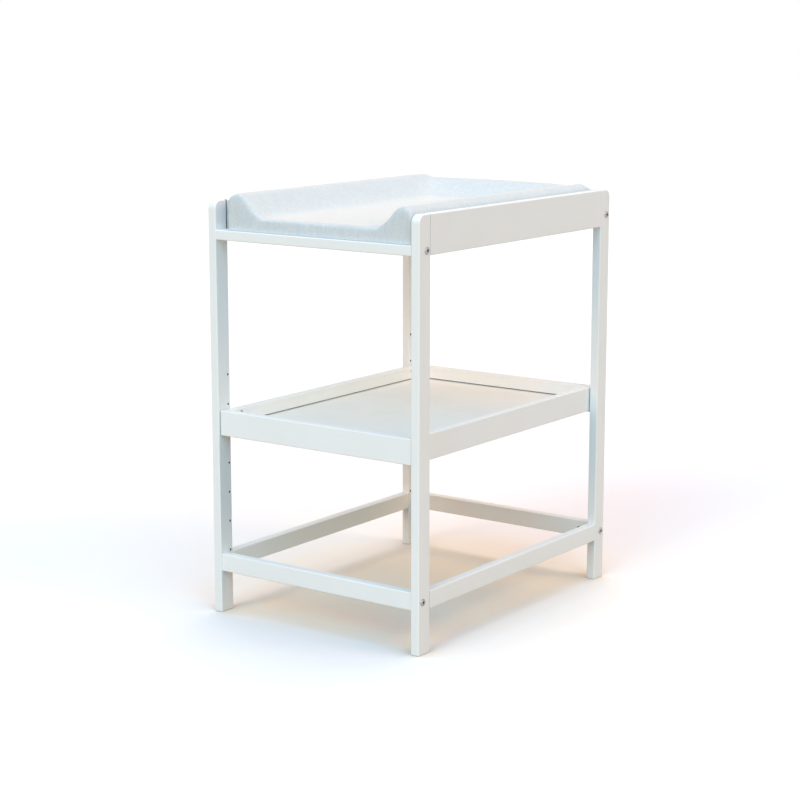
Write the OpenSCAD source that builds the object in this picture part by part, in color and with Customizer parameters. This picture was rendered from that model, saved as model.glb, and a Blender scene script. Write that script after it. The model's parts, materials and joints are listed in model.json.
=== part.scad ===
// Changing table: two side frames, cross rails, a deck with raised sides and back,
// a lift-out tray on shelf pins, and a foam mat with a fabric cover.
// Millimetres. +Z is up and the front is towards -Y. The origin is on the floor,
// under the centre of the four legs.

/* [Frame] */
// Width over the two side frames
frame_w = 568; // [460:1:700]
// Depth over the front and back legs
frame_d = 766; // [630:1:930]
// Height of the legs and of the raised sides
frame_h = 933; // [770:1:1130]
// Thickness of the side frames, the cross rails and the back panel
board_t = 21; // [17.5:0.5:26]
// Width of a leg, seen from the side
leg_w = 40; // [33:1:60]
// Radius of the outer top corner of each leg
leg_corner_r = 18; // [2:1:30]

/* [Deck and raised sides] */
// Height of the side panels and the back panel
panel_h = 85.5; // [70:0.5:130]
// Thickness of the deck board
deck_t = 22; // [18:0.5:28]
// How far the deck's front edge stands behind the legs' front faces
deck_setback = 0.5; // [0:0.5:10]
// How far the back panel and the cross rails stand inside the legs' outer faces
cross_setback = 4; // [0:0.5:8]

/* [Bottom rails] */
// Height of a bottom rail
rail_h = 40; // [38:1:60]
// Height of the rails' underside above the floor
rail_z = 96; // [60:1:140]

/* [Shelf pins] */
// Diameter of a shelf pin
pin_d = 5; // [4:0.5:6]
// Length of a shelf pin
pin_len = 28; // [20:1:32]
// Length of a shelf pin inside the leg
pin_grip = 12.5; // [8:0.5:14]
// Distance from a leg's inner edge to the row of pin holes
pin_edge = 7; // [5:0.5:12]
// Height of the lowest pin hole above the bottom rails
pin_first_rise = 3.9; // [3.5:0.1:20]
// Distance between two pin holes in a row
pin_pitch = 67.3; // [56:0.1:81]
// Number of pin holes in each leg
pin_rows = 7; // [5:1:7]
// The row that the tray hangs on, counted from the floor
tray_row = 5; // [1:1:5]

/* [Tray] */
// Height of the tray's boards
tray_h = 57; // [48:1:80]
// Thickness of the tray's boards
tray_board_t = 20; // [18:0.5:25]
// Gap between the tray and each side frame
tray_side_gap = 1.2; // [0.8:0.1:4]
// How far the tray stands behind the legs' front faces
tray_front_setback = 3.3; // [0:0.1:10]
// How far the tray stops short of the legs' back faces
tray_back_setback = 7; // [0:0.1:15]
// Height of the tray's underside above the pins' axes
tray_pin_rise = 0.4; // [0.2:0.1:1]
// Thickness of the tray's bottom panel
tray_panel_t = 5; // [3:0.5:6]
// Depth of the tray, from its rim to the bottom panel
tray_depth = 31; // [24:0.5:34]
// Depth of the groove that holds the bottom panel
groove_depth = 7; // [4:0.5:9]

/* [Mat] */
// Gap between the mat and the left side panel
mat_left_gap = 28; // [1:1:40]
// Gap between the mat and the right side panel
mat_right_gap = 3; // [1:1:40]
// How far the mat's front stands behind the legs' front faces
mat_front_inset = 6.5; // [1:0.5:30]
// Gap between the mat and the back panel
mat_back_gap = 3; // [1:0.5:20]
// Thickness of the mat's floor
mat_floor_h = 29; // [20:1:45]
// Height of the mat's raised sides
mat_side_h = 81; // [65:1:100]
// Height of the mat's raised back
mat_back_h = 74; // [60:1:100]
// Radius of the outer shoulder of the raised sides and back
mat_shoulder_r = 20; // [10:1:24]
// Width of the raised sides and back over their outer, level part
mat_crest_w = 25; // [25:1:40]
// Width of the raised sides and back at their foot
mat_foot_w = 104; // [75:1:130]
// Thickness of the fabric cover with its padding
cover_t = 2.5; // [1.5:0.1:3.5]
// Width of the cover's hem under the mat
cover_hem_w = 70; // [40:1:120]

/* [Bolts and barrel nuts] */
// Diameter of a frame bolt
bolt_d = 6; // [5:0.5:7]
// Length of a frame bolt under its head
bolt_len = 60; // [58:1:62]
// Diameter of a bolt's head
bolt_head_d = 16; // [12:0.5:18]
// Height of a bolt's head
bolt_head_h = 2.5; // [1.5:0.1:3]
// Width across the flats of a bolt's hex socket
bolt_hex = 4; // [3:0.5:4]
// Depth of a bolt's hex socket
bolt_hex_depth = 2.6; // [2:0.1:4]
// Diameter of a barrel nut
nut_d = 10; // [9:0.5:12]
// Length of a barrel nut
nut_len = 14; // [12:0.5:16]
// Distance from a cross member's end to its barrel nut
nut_inset = 32; // [27:0.5:34]
// Distance from the legs' front faces to the deck's bolts
deck_bolt_in = 27; // [24:0.5:28]
// Height of the back panel's bolts above its underside
back_bolt_up = 27.5; // [27:0.5:40]

/* [Dowels] */
// Diameter of a frame dowel
dowel_d = 8; // [6:0.5:8]
// Length of a frame dowel
dowel_len = 30; // [25:1:36]
// Length of a frame dowel inside the leg
dowel_grip = 11.5; // [9:0.5:12]
// Distance from the legs' front faces to the deck's front dowels
deck_dowel_in = 10; // [8:0.5:12]
// Distance between the two dowels along each side of the deck
deck_side_pitch = 280; // [150:5:400]
// Distance between the dowels along the deck's back edge
deck_back_pitch = 120; // [60:5:130]
// Distance from a side panel's underside to its lower dowels
panel_dowel_low = 27; // [27:0.5:32]
// Distance from a panel's top to its upper dowels
panel_dowel_top = 21; // [12:0.5:24]
// Distance from the back panel's underside to its lower dowels
back_dowel_low = 11; // [8:0.5:12]
// Distance between the two dowels at the end of a side rail
side_rail_pitch = 20; // [14:0.5:24]
// Distance between the two dowels at the end of a cross rail
cross_rail_pitch = 24; // [20:0.5:26]

/* [Tray corner fittings] */
// Diameter of a tray cam
cam_d = 10; // [8:0.5:12]
// Length of a tray cam
cam_len = 12.5; // [12:0.5:13]
// Distance from a side board's end to its cam
cam_inset = 30; // [24:0.5:34]
// Distance from the tray's rim to the cams
cam_drop = 10; // [8:0.5:12]
// Diameter of a cam bolt's shank
cam_bolt_d = 5; // [4:0.5:5]
// Diameter of a cam bolt's head
cam_head_d = 5.6; // [5.2:0.1:6]
// Length of a cam bolt inside the front or back board
cam_bolt_grip = 11; // [8:0.5:13]
// Diameter of a tray dowel
tray_dowel_d = 6; // [5:0.5:8]
// Length of a tray dowel
tray_dowel_len = 30; // [24:1:36]
// Length of a tray dowel inside the front or back board
tray_dowel_grip = 10; // [8:0.5:12]
// Height of the tray dowels above the tray's underside
tray_dowel_up = 11.5; // [9:0.5:13]

/* [Clearances] */
// Radial play of a frame bolt in its hole
bolt_play = 0.5; // [0.2:0.1:0.8]
// Radial play of a bolt in the nut that it screws into
thread_play = 0.15; // [0.1:0.05:0.3]
// Radial play of a barrel nut, a cam or a cam bolt in its hole
fitting_play = 0.15; // [0.1:0.05:0.4]
// Radial play of a dowel or a shelf pin in its hole
dowel_play = 0.1; // [0.1:0.05:0.3]
// Room past the blind end of a dowel, pin or bolt
end_play = 0.5; // [0.3:0.1:1]
// Gap between a tray notch and its shelf pin
notch_play = 0.3; // [0.2:0.1:0.8]
// Gap above the bottom panel in its groove
groove_play = 1.5; // [0.2:0.1:2]
// Gap between the bottom panel's edge and the end of its groove
panel_edge_play = 0.5; // [0.3:0.1:2]
// Gap between the mat and the deck
mat_deck_gap = 0.3; // [0.2:0.1:1]

/* [Hidden] */

$fn = 48;
// How far a cut runs past the face that it opens
cut = 1;
// Colours
paint = [0.93, 0.94, 0.94];
steel = [0.72, 0.73, 0.75];
beech = [0.86, 0.72, 0.54];
foam = [0.96, 0.93, 0.82];
terry = [0.84, 0.89, 0.92];

// Frame levels and places, for the right side (+X) and the back (+Y)
x_out = frame_w / 2;
x_in = x_out - board_t;
x_mid = x_out - board_t / 2;
y_out = frame_d / 2;
y_leg = y_out - leg_w;
panel_z = frame_h - panel_h;
deck_mid_z = panel_z + deck_t / 2;
deck_top = panel_z + deck_t;
rail_top = rail_z + rail_h;
rail_mid_z = rail_z + rail_h / 2;
cross_y = y_out - cross_setback - board_t / 2;
back_in_y = y_out - cross_setback - board_t;
deck_front_y = -y_out + deck_setback;

// Where bolts and dowels cross from a side frame into a deck, panel or rail: [y, z]
deck_bolt = [-y_out + deck_bolt_in, deck_mid_z];
back_bolt = [cross_y, panel_z + back_bolt_up];
front_rail_bolt = [-cross_y, rail_mid_z];
back_rail_bolt = [cross_y, rail_mid_z];
cross_bolts = [deck_bolt, back_bolt, front_rail_bolt, back_rail_bolt];
deck_front_dowel = [-y_out + deck_dowel_in, deck_mid_z];
deck_side_dowels = [for (e = [-1, 1]) [e * deck_side_pitch / 2, deck_mid_z]];
back_panel_dowels = [
    [cross_y, panel_z + back_dowel_low],
    [cross_y, frame_h - panel_dowel_top]
];
rail_dowels = [for (e = [-1, 1], u = [-1, 1]) [e * cross_y, rail_mid_z + u * cross_rail_pitch / 2]];
cross_dowel_points = concat([deck_front_dowel], deck_side_dowels, back_panel_dowels, rail_dowels);

// Heights of the dowels between a leg and its side panel and side rail
side_dowel_heights = [
    panel_z + panel_dowel_low,
    frame_h - panel_dowel_top,
    rail_mid_z - side_rail_pitch / 2,
    rail_mid_z + side_rail_pitch / 2
];
// Places of the dowels between the deck and the back panel, along X
deck_back_dowels = [for (i = [-1.5:1:1.5]) i * deck_back_pitch];

dowel_r = dowel_d / 2;
dowel_hole_r = dowel_r + dowel_play;
dowel_reach = dowel_len - dowel_grip;
dowel_tip = 1;
bolt_hole_r = bolt_d / 2 + bolt_play;
bolt_bore = bolt_len - board_t + end_play;
bolt_tip = 0.8;
nut_hole_r = nut_d / 2 + fitting_play;
// A barrel nut's hole is blind: this far past the middle of the board that holds it
nut_past = nut_len / 2 + end_play;
nut_slot_w = 1.2;
nut_slot_depth = 1;

// Shelf pins
pin_r = pin_d / 2;
pin_hole_r = pin_r + dowel_play;
pin_y = y_leg + pin_edge;
pin_tip = 0.6;
pin_heights = [for (i = [0:pin_rows - 1]) rail_top + pin_first_rise + i * pin_pitch];

// Tray: half width, half length and its middle along Y
tray_x = x_in - tray_side_gap;
tray_y = y_out - (tray_front_setback + tray_back_setback) / 2;
tray_mid_y = (tray_front_setback - tray_back_setback) / 2;
tray_z = pin_heights[tray_row - 1] + tray_pin_rise;
tray_in_x = tray_x - tray_board_t;
tray_in_y = tray_y - tray_board_t;
tray_board_mid_x = tray_x - tray_board_t / 2;
tray_panel_z = tray_h - tray_depth - tray_panel_t;
panel_bite = groove_depth - panel_edge_play;
cam_y = tray_in_y - cam_inset;
cam_z = tray_h - cam_drop;
cam_hole_depth = cam_len + end_play;
cam_pocket = 3.2;
cam_recess = [6, 1, 1.2];
cam_head_h = 2.5;
cam_head_tip = 0.5;
// Radius of a cam bolt's neck, between its head and its shank
cam_neck_r = cam_bolt_d / 2 - 0.7;
cam_bolt_hole_r = cam_head_d / 2 + 2 * fitting_play;
tray_dowel_r = tray_dowel_d / 2;

// Mat: its corner at the left front, and its size
mat_at = [-x_in + mat_left_gap, -y_out + mat_front_inset, deck_top + mat_deck_gap];
mat_w = 2 * x_in - mat_left_gap - mat_right_gap;
mat_l = back_in_y - mat_back_gap - mat_at[1];
mat_floor_in = mat_floor_h - cover_t;
shoulder_steps = 6;
slope_steps = 10;
// Above 1, the slope of a raised side falls fast near its crest and runs out gently
slope_power = 1.3;

// Profile of one raised side, from its outer foot over the crest to the mat's floor: [in, up]
function raised_side(h) = concat(
    [[0, 0]],
    [for (i = [0:shoulder_steps]) let (a = 90 * i / shoulder_steps)
        [mat_shoulder_r * (1 - cos(a)), h - mat_shoulder_r * (1 - sin(a))]],
    [for (i = [0:slope_steps]) let (u = i / slope_steps, drop = pow((1 + cos(180 * u)) / 2, slope_power))
        [mat_crest_w + (mat_foot_w - mat_crest_w) * u, mat_floor_h + (h - mat_floor_h) * drop]]
);
function flipped(points, w) = [for (i = [len(points) - 1:-1:0]) [w - points[i][0], points[i][1]]];
// Section across the mat: both raised sides and the floor between them
function cross_section() = concat(raised_side(mat_side_h), flipped(raised_side(mat_side_h), mat_w));
// Section along the mat at its raised back: [from the mat's front, up]
function back_section() = concat([[mat_l - mat_foot_w, 0]], flipped(raised_side(mat_back_h), mat_l));

function unit(v) = v / norm(v);
// A clockwise outline with each edge moved inwards by t
function inset(points, t) = [
    for (i = [0:len(points) - 1])
        let (
            n = len(points),
            a = unit(points[i] - points[(i + n - 1) % n]),
            b = unit(points[(i + 1) % n] - points[i]),
            na = [a[1], -a[0]],
            nb = [b[1], -b[0]]
        )
        points[i] + t * (na + nb) / (1 + na * nb)
];

// Outlines of the foam wedges, from the base's top up to the inside of the cover
side_points = len(raised_side(mat_side_h));
side_inset = inset(cross_section(), cover_t);
side_wedge_outline = concat([[cover_t, mat_floor_in]], [for (i = [1:side_points - 1]) side_inset[i]]);
back_inset = inset(back_section(), cover_t);
back_wedge_outline = concat(
    [for (i = [1:side_points - 1]) back_inset[i]],
    [[mat_l - cover_t, mat_floor_in]]
);

// ---- Helpers ----

// A box between two opposite corners
module block(lo, hi) translate(lo) cube(hi - lo);

// A part modelled on the right is mirrored to the left when s is -1
module on_side(s) mirror([s < 0 ? 1 : 0, 0, 0]) children();
// A part modelled at the back is mirrored to the front when e is -1
module on_end(e) mirror([0, e < 0 ? 1 : 0, 0]) children();
module both_sides() {
    children();
    mirror([1, 0, 0]) children();
}

// Round rods along +X, +Y and +Z from a start point
module rod_x(at, r, l) translate(at) rotate([0, 90, 0]) cylinder(r = r, h = l);
module rod_y(at, r, l) translate(at) rotate([-90, 0, 0]) cylinder(r = r, h = l);
module rod_z(at, r, l) translate(at) cylinder(r = r, h = l);

// A round peg along +Z with chamfered ends
module peg(r, l, tip) rotate_extrude()
    polygon([[0, 0], [r - tip, 0], [r, tip], [r, l - tip], [r - tip, l], [0, l]]);

// ---- Holes in the frame, for the right side ----

// Through the leg and into the end of the member that the bolt holds
module bolt_hole(at)
    rod_x([x_in - bolt_bore, at[0], at[1]], bolt_hole_r, bolt_bore + board_t + cut);

module cross_dowel_hole(at)
    rod_x([x_in - dowel_reach - end_play, at[0], at[1]], dowel_hole_r, dowel_len + 2 * end_play);

module side_dowel_hole(z)
    rod_y([x_mid, y_leg - dowel_reach - end_play, z], dowel_hole_r, dowel_len + 2 * end_play);

module deck_back_dowel_hole(x)
    rod_y([x, back_in_y - dowel_reach - end_play, deck_mid_z], dowel_hole_r, dowel_len + 2 * end_play);

// Holes for the bolt, the two dowels and the barrel nut at the right end of a cross rail (e is -1 or 1)
module rail_end_holes(e) on_end(e) {
    bolt_hole(back_rail_bolt);
    for (u = [-1, 1]) cross_dowel_hole([cross_y, rail_mid_z + u * cross_rail_pitch / 2]);
    rod_y([x_in - nut_inset, back_in_y - cut, rail_mid_z], nut_hole_r, board_t / 2 + nut_past + cut);
}

// ---- Frame boards ----

// A leg at the back right corner, with its outer top corner rounded
module leg_blank() difference() {
    block([x_in, y_leg, 0], [x_out, y_out, frame_h]);
    difference() {
        block(
            [x_in - cut, y_out - leg_corner_r, frame_h - leg_corner_r],
            [x_out + cut, y_out + cut, frame_h + cut]
        );
        rod_x(
            [x_in - 2 * cut, y_out - leg_corner_r, frame_h - leg_corner_r],
            leg_corner_r, board_t + 4 * cut
        );
    }
}

// A leg with its shelf-pin holes, dowel holes and bolt holes
module leg(s, e) color(paint) on_side(s) difference() {
    on_end(e) difference() {
        leg_blank();
        for (z = pin_heights) rod_x([x_in - cut, pin_y, z], pin_hole_r, pin_grip + end_play + cut);
        for (z = side_dowel_heights) side_dowel_hole(z);
    }
    for (at = cross_bolts) if (at[0] * e > 0) bolt_hole(at);
    for (at = cross_dowel_points) if (at[0] * e > y_leg) cross_dowel_hole(at);
}

// The raised side between two legs
module side_panel(s) color(paint) on_side(s) difference() {
    block([x_in, -y_leg, panel_z], [x_out, y_leg, frame_h]);
    for (e = [-1, 1], i = [0, 1]) on_end(e) side_dowel_hole(side_dowel_heights[i]);
    for (at = deck_side_dowels) cross_dowel_hole(at);
}

module side_rail(s) color(paint) on_side(s) difference() {
    block([x_in, -y_leg, rail_z], [x_out, y_leg, rail_top]);
    for (e = [-1, 1], i = [2, 3]) on_end(e) side_dowel_hole(side_dowel_heights[i]);
}

// The front rail (e is -1) or the back rail (e is 1)
module cross_rail(e) color(paint) difference() {
    on_end(e) block([-x_in, back_in_y, rail_z], [x_in, back_in_y + board_t, rail_top]);
    both_sides() rail_end_holes(e);
}

module left_front_leg() leg(-1, -1);
module left_back_leg() leg(-1, 1);
module right_front_leg() leg(1, -1);
module right_back_leg() leg(1, 1);
module left_side_panel() side_panel(-1);
module right_side_panel() side_panel(1);
module left_bottom_rail() side_rail(-1);
module right_bottom_rail() side_rail(1);
module front_bottom_rail() cross_rail(-1);
module back_bottom_rail() cross_rail(1);

module deck_board() color(paint) difference() {
    block([-x_in, deck_front_y, panel_z], [x_in, back_in_y, deck_top]);
    both_sides() {
        bolt_hole(deck_bolt);
        cross_dowel_hole(deck_front_dowel);
        for (at = deck_side_dowels) cross_dowel_hole(at);
        rod_z([x_in - nut_inset, deck_bolt[0], panel_z - cut], nut_hole_r, deck_t / 2 + nut_past + cut);
    }
    for (x = deck_back_dowels) deck_back_dowel_hole(x);
}

module back_panel() color(paint) difference() {
    block([-x_in, back_in_y, panel_z], [x_in, back_in_y + board_t, frame_h]);
    both_sides() {
        bolt_hole(back_bolt);
        for (at = back_panel_dowels) cross_dowel_hole(at);
        rod_y([x_in - nut_inset, back_in_y - cut, back_bolt[1]], nut_hole_r, board_t / 2 + nut_past + cut);
    }
    for (x = deck_back_dowels) deck_back_dowel_hole(x);
}

// ---- Frame fasteners ----

// A bolt along -Z, with its flat round head on top of z = 0
module bolt() difference() {
    rotate_extrude() polygon([
        [0, -bolt_len], [bolt_d / 2 - bolt_tip, -bolt_len],
        [bolt_d / 2, bolt_tip - bolt_len], [bolt_d / 2, 0],
        [bolt_head_d / 2, 0], [bolt_head_d / 2, bolt_head_h / 2],
        [bolt_head_d / 2 - bolt_head_h / 2, bolt_head_h], [0, bolt_head_h]
    ]);
    translate([0, 0, bolt_head_h - bolt_hex_depth])
        cylinder(r = bolt_hex / 2 / cos(30), h = bolt_hex_depth + cut, $fn = 6);
}

module frame_bolts(s) color(steel) on_side(s)
    for (at = cross_bolts) translate([x_out, at[0], at[1]]) rotate([0, 90, 0]) bolt();

// A barrel nut centred at the origin: its length along Z, its thread along X, a slot in its lower end
module barrel_nut() difference() {
    rod_z([0, 0, -nut_len / 2], nut_d / 2, nut_len);
    rod_x([-nut_d, 0, 0], bolt_d / 2 + thread_play, 2 * nut_d);
    block(
        [-nut_d, -nut_slot_w / 2, -nut_len / 2 - cut],
        [nut_d, nut_slot_w / 2, -nut_len / 2 + nut_slot_depth]
    );
}

// The deck's nut goes in from below, and the others from inside the frame
module barrel_nuts(s) color(steel) on_side(s) {
    x = x_in - nut_inset;
    translate([x, deck_bolt[0], deck_bolt[1]]) barrel_nut();
    for (at = [back_bolt, front_rail_bolt, back_rail_bolt])
        translate([x, at[0], at[1]]) rotate([at[0] > 0 ? -90 : 90, 0, 0]) barrel_nut();
}

module dowel() peg(dowel_r, dowel_len, dowel_tip);

module side_dowels(s) color(beech) on_side(s)
    for (e = [-1, 1], z = side_dowel_heights)
        on_end(e) translate([x_mid, y_leg - dowel_reach, z]) rotate([-90, 0, 0]) dowel();

module cross_dowels() color(beech) {
    both_sides() for (at = cross_dowel_points)
        translate([x_in - dowel_reach, at[0], at[1]]) rotate([0, 90, 0]) dowel();
    for (x = deck_back_dowels)
        translate([x, back_in_y - dowel_reach, deck_mid_z]) rotate([-90, 0, 0]) dowel();
}

module shelf_pins() color(steel) both_sides() for (e = [-1, 1])
    translate([x_in + pin_grip - pin_len, e * pin_y, pin_heights[tray_row - 1]])
        rotate([0, 90, 0]) peg(pin_r, pin_len, pin_tip);

module left_frame_bolts() frame_bolts(-1);
module right_frame_bolts() frame_bolts(1);
module left_barrel_nuts() barrel_nuts(-1);
module right_barrel_nuts() barrel_nuts(1);
module left_side_dowels() side_dowels(-1);
module right_side_dowels() side_dowels(1);

// ---- Tray, modelled about its own middle with its underside at z = 0 ----

module tray_place() translate([0, tray_mid_y, tray_z]) children();

// The slot around the bottom panel's edge
module panel_groove() block(
    [-tray_in_x - groove_depth, -tray_in_y - groove_depth, tray_panel_z],
    [tray_in_x + groove_depth, tray_in_y + groove_depth, tray_panel_z + tray_panel_t + groove_play]
);

// Holes at the back right corner, from a side board's end into the end board
module corner_holes() {
    rod_y([tray_board_mid_x, cam_y, cam_z], cam_bolt_hole_r, cam_inset);
    rod_y(
        [tray_board_mid_x, tray_in_y - cut, cam_z],
        cam_bolt_d / 2 + dowel_play, cam_bolt_grip + end_play + cut
    );
    rod_y(
        [tray_board_mid_x, tray_in_y + tray_dowel_grip - tray_dowel_len - end_play, tray_dowel_up],
        tray_dowel_r + dowel_play, tray_dowel_len + 2 * end_play
    );
    rod_x([tray_in_x - cut, cam_y, cam_z], cam_d / 2 + fitting_play, cam_hole_depth + cut);
}

// The front board (e is -1) or the back board (e is 1), over the full width
module tray_end_board(e) color(paint) tray_place() on_end(e) difference() {
    block([-tray_x, tray_in_y, 0], [tray_x, tray_y, tray_h]);
    panel_groove();
    both_sides() corner_holes();
}

// A side board between the end boards, notched over the shelf pins
module tray_side_board(s) color(paint) on_side(s) difference() {
    tray_place() difference() {
        block([tray_in_x, -tray_in_y, 0], [tray_x, tray_in_y, tray_h]);
        panel_groove();
        for (e = [-1, 1]) on_end(e) corner_holes();
    }
    for (e = [-1, 1])
        rod_x(
            [tray_in_x - cut, e * pin_y, tray_z - tray_pin_rise],
            pin_r + notch_play, tray_board_t + 2 * cut
        );
}

module tray_front_board() tray_end_board(-1);
module tray_back_board() tray_end_board(1);
module tray_left_board() tray_side_board(-1);
module tray_right_board() tray_side_board(1);

module tray_bottom_panel() color(paint) tray_place() block(
    [-tray_in_x - panel_bite, -tray_in_y - panel_bite, tray_panel_z],
    [tray_in_x + panel_bite, tray_in_y + panel_bite, tray_panel_z + tray_panel_t]
);

module tray_corners() tray_place() both_sides() for (e = [-1, 1]) on_end(e) children();

module tray_dowels() color(beech) tray_corners()
    translate([tray_board_mid_x, tray_in_y + tray_dowel_grip - tray_dowel_len, tray_dowel_up])
        rotate([-90, 0, 0]) peg(tray_dowel_r, tray_dowel_len, dowel_tip);

// A cam with a pocket for the bolt's head and a cross recess in its face
module tray_cams() color(steel) tray_corners() difference() {
    rod_x([tray_in_x, cam_y, cam_z], cam_d / 2, cam_len);
    rod_y([tray_board_mid_x, cam_y - cam_pocket, cam_z], cam_bolt_hole_r, cam_pocket + cam_d);
    for (a = [0, 90]) translate([tray_in_x - cut, cam_y, cam_z]) rotate([a, 0, 0])
        block(
            [0, -cam_recess[0] / 2, -cam_recess[1] / 2],
            [cut + cam_recess[2], cam_recess[0] / 2, cam_recess[1] / 2]
        );
}

// A cam bolt along Y: its head in the cam, its thread in the end board
module tray_cam_bolts() color(steel) tray_corners() {
    head_r = cam_head_d / 2;
    shank_r = cam_bolt_d / 2;
    l = cam_inset + cam_bolt_grip;
    translate([tray_board_mid_x, cam_y - cam_head_h / 2, cam_z]) rotate([-90, 0, 0])
        rotate_extrude() polygon([
            [0, 0], [head_r - cam_head_tip, 0], [head_r, cam_head_tip], [head_r, cam_head_h],
            [cam_neck_r, cam_head_h], [cam_neck_r, cam_d],
            [shank_r, cam_d], [shank_r, l], [0, l + cam_head_h / 2]
        ]);
}

// ---- Mat, modelled with its left front corner at the origin ----

module mat_place() translate(mat_at) children();

// An outline across the mat, extruded along it and moved inwards by t at both ends
module along_mat(outline, t) translate([0, mat_l - t, 0]) rotate([90, 0, 0])
    linear_extrude(mat_l - 2 * t) polygon(outline);

// An outline along the mat, extruded across it between the crests of the raised sides
module across_mat(outline) translate([mat_crest_w, 0, 0]) rotate([90, 0, 90])
    linear_extrude(mat_w - 2 * mat_crest_w) polygon(outline);

// The mat's whole body, moved inwards by t on every face
module mat_body(t) {
    along_mat(inset(cross_section(), t), t);
    across_mat(inset(back_section(), t));
}

module mat_foam_base() color(foam) mat_place()
    block([cover_t, cover_t, cover_t], [mat_w - cover_t, mat_l - cover_t, mat_floor_in]);

// The left raised side's foam, on top of the base
module side_wedge() along_mat(side_wedge_outline, cover_t);
module other_side_wedge() translate([mat_w, 0, 0]) mirror([1, 0, 0]) side_wedge();

module mat_left_wedge() color(foam) mat_place() side_wedge();
module mat_right_wedge() color(foam) mat_place() other_side_wedge();

// The raised back's foam, cut to fit between the raised sides
module mat_back_wedge() color(foam) mat_place() difference() {
    across_mat(back_wedge_outline);
    side_wedge();
    other_side_wedge();
}

// The cover wraps the foam and turns in under it, leaving the middle of the underside open
module mat_cover() color(terry) mat_place() difference() {
    mat_body(0);
    mat_body(cover_t);
    block([cover_hem_w, cover_hem_w, -cut], [mat_w - cover_hem_w, mat_l - cover_hem_w, cover_t + cut]);
}

left_front_leg();
left_back_leg();
left_side_panel();
left_bottom_rail();
right_front_leg();
right_back_leg();
right_side_panel();
right_bottom_rail();
deck_board();
back_panel();
front_bottom_rail();
back_bottom_rail();
left_frame_bolts();
right_frame_bolts();
left_barrel_nuts();
right_barrel_nuts();
left_side_dowels();
right_side_dowels();
cross_dowels();
shelf_pins();
tray_front_board();
tray_back_board();
tray_left_board();
tray_right_board();
tray_bottom_panel();
tray_dowels();
tray_cams();
tray_cam_bolts();
mat_foam_base();
mat_left_wedge();
mat_right_wedge();
mat_back_wedge();
mat_cover();
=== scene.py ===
"""The looks of a white changing table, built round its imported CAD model.

Everything is in metres in the table's own frame: +Z up, the front towards -Y, +X to the right.
Places and main sizes come from the frame. What the frame doesn't say is a named field of the class
that uses it.
"""

import json
import logging
import math
from collections.abc import Callable, Iterable, Iterator
from contextlib import contextmanager
from dataclasses import dataclass, field
from enum import Enum
from functools import cache

import bmesh
import bpy
from bmesh.types import BMEdge, BMesh, BMFace, BMVert
from bpy.types import Material, MeshPolygon, Node, NodeOutputs, NodeSocket, NodeTree, Object
from mathutils import Matrix, Vector, noise


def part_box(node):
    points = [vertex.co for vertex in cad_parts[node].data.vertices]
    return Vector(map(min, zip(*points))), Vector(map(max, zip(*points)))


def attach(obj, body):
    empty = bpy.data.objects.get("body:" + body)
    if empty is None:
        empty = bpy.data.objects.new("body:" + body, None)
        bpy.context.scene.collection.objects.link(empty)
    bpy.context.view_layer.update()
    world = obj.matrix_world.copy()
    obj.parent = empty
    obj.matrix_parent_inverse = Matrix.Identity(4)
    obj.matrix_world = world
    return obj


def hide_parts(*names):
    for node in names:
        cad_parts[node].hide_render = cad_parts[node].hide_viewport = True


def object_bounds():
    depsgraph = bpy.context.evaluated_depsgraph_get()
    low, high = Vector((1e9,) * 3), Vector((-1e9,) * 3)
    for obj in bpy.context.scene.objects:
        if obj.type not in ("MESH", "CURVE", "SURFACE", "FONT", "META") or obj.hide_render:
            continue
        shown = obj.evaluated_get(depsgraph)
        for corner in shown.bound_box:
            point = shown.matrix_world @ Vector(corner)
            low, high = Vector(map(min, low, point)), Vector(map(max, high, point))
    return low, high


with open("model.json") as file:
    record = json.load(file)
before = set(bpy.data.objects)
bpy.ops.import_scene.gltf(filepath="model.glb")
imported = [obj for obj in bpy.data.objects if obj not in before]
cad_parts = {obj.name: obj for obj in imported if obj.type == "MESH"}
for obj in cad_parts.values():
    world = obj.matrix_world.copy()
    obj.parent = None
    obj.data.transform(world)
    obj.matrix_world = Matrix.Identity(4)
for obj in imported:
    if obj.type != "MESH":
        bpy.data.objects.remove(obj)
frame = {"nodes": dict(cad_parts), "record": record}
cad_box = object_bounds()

log = logging.getLogger("changing_table")

Color = tuple[float, float, float]
Point = tuple[float, float, float]

# Two faces closer than this count as one
TOUCH = 1e-5
# Points closer than this are joined
WELD = 1e-6
# Unit vectors whose product is more than this point the same way
ALIGNED = 0.999
# Unit vectors whose product is less than this stand roughly square to each other
SQUARE = 0.1


# ---- Shapes ----


class Axis(Enum):
    """A direction of the table's frame."""

    X = 0
    Y = 1
    Z = 2

    @property
    def unit(self) -> Vector:
        """The direction as a unit vector."""
        return Vector([float(i == self.value) for i in range(3)])


class Face(Enum):
    """A face of a board, as its axis and which end of it."""

    LEFT = (0, -1)
    RIGHT = (0, 1)
    FRONT = (1, -1)
    BACK = (1, 1)
    ABOVE = (2, 1)

    @property
    def normal(self) -> Vector:
        """The direction that the face looks in."""
        axis, way = self.value
        return Axis(axis).unit * way


class Named(Enum):
    """Options that stand in the names of nodes."""

    @property
    def word(self) -> str:
        """The option as it stands in the names of nodes."""
        return self.name.lower()


class Side(Named):
    """The left or right side of the table, as the sign of X there."""

    LEFT = -1
    RIGHT = 1

    @property
    def outward(self) -> Face:
        """The face of a board that looks away from the table's middle."""
        return Face[self.name]

    @property
    def inward(self) -> Face:
        """The face of a board that looks at the table's middle."""
        return Face.RIGHT if self is Side.LEFT else Face.LEFT


class End(Named):
    """The front or back end of the table, as the sign of Y there."""

    FRONT = -1
    BACK = 1


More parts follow.
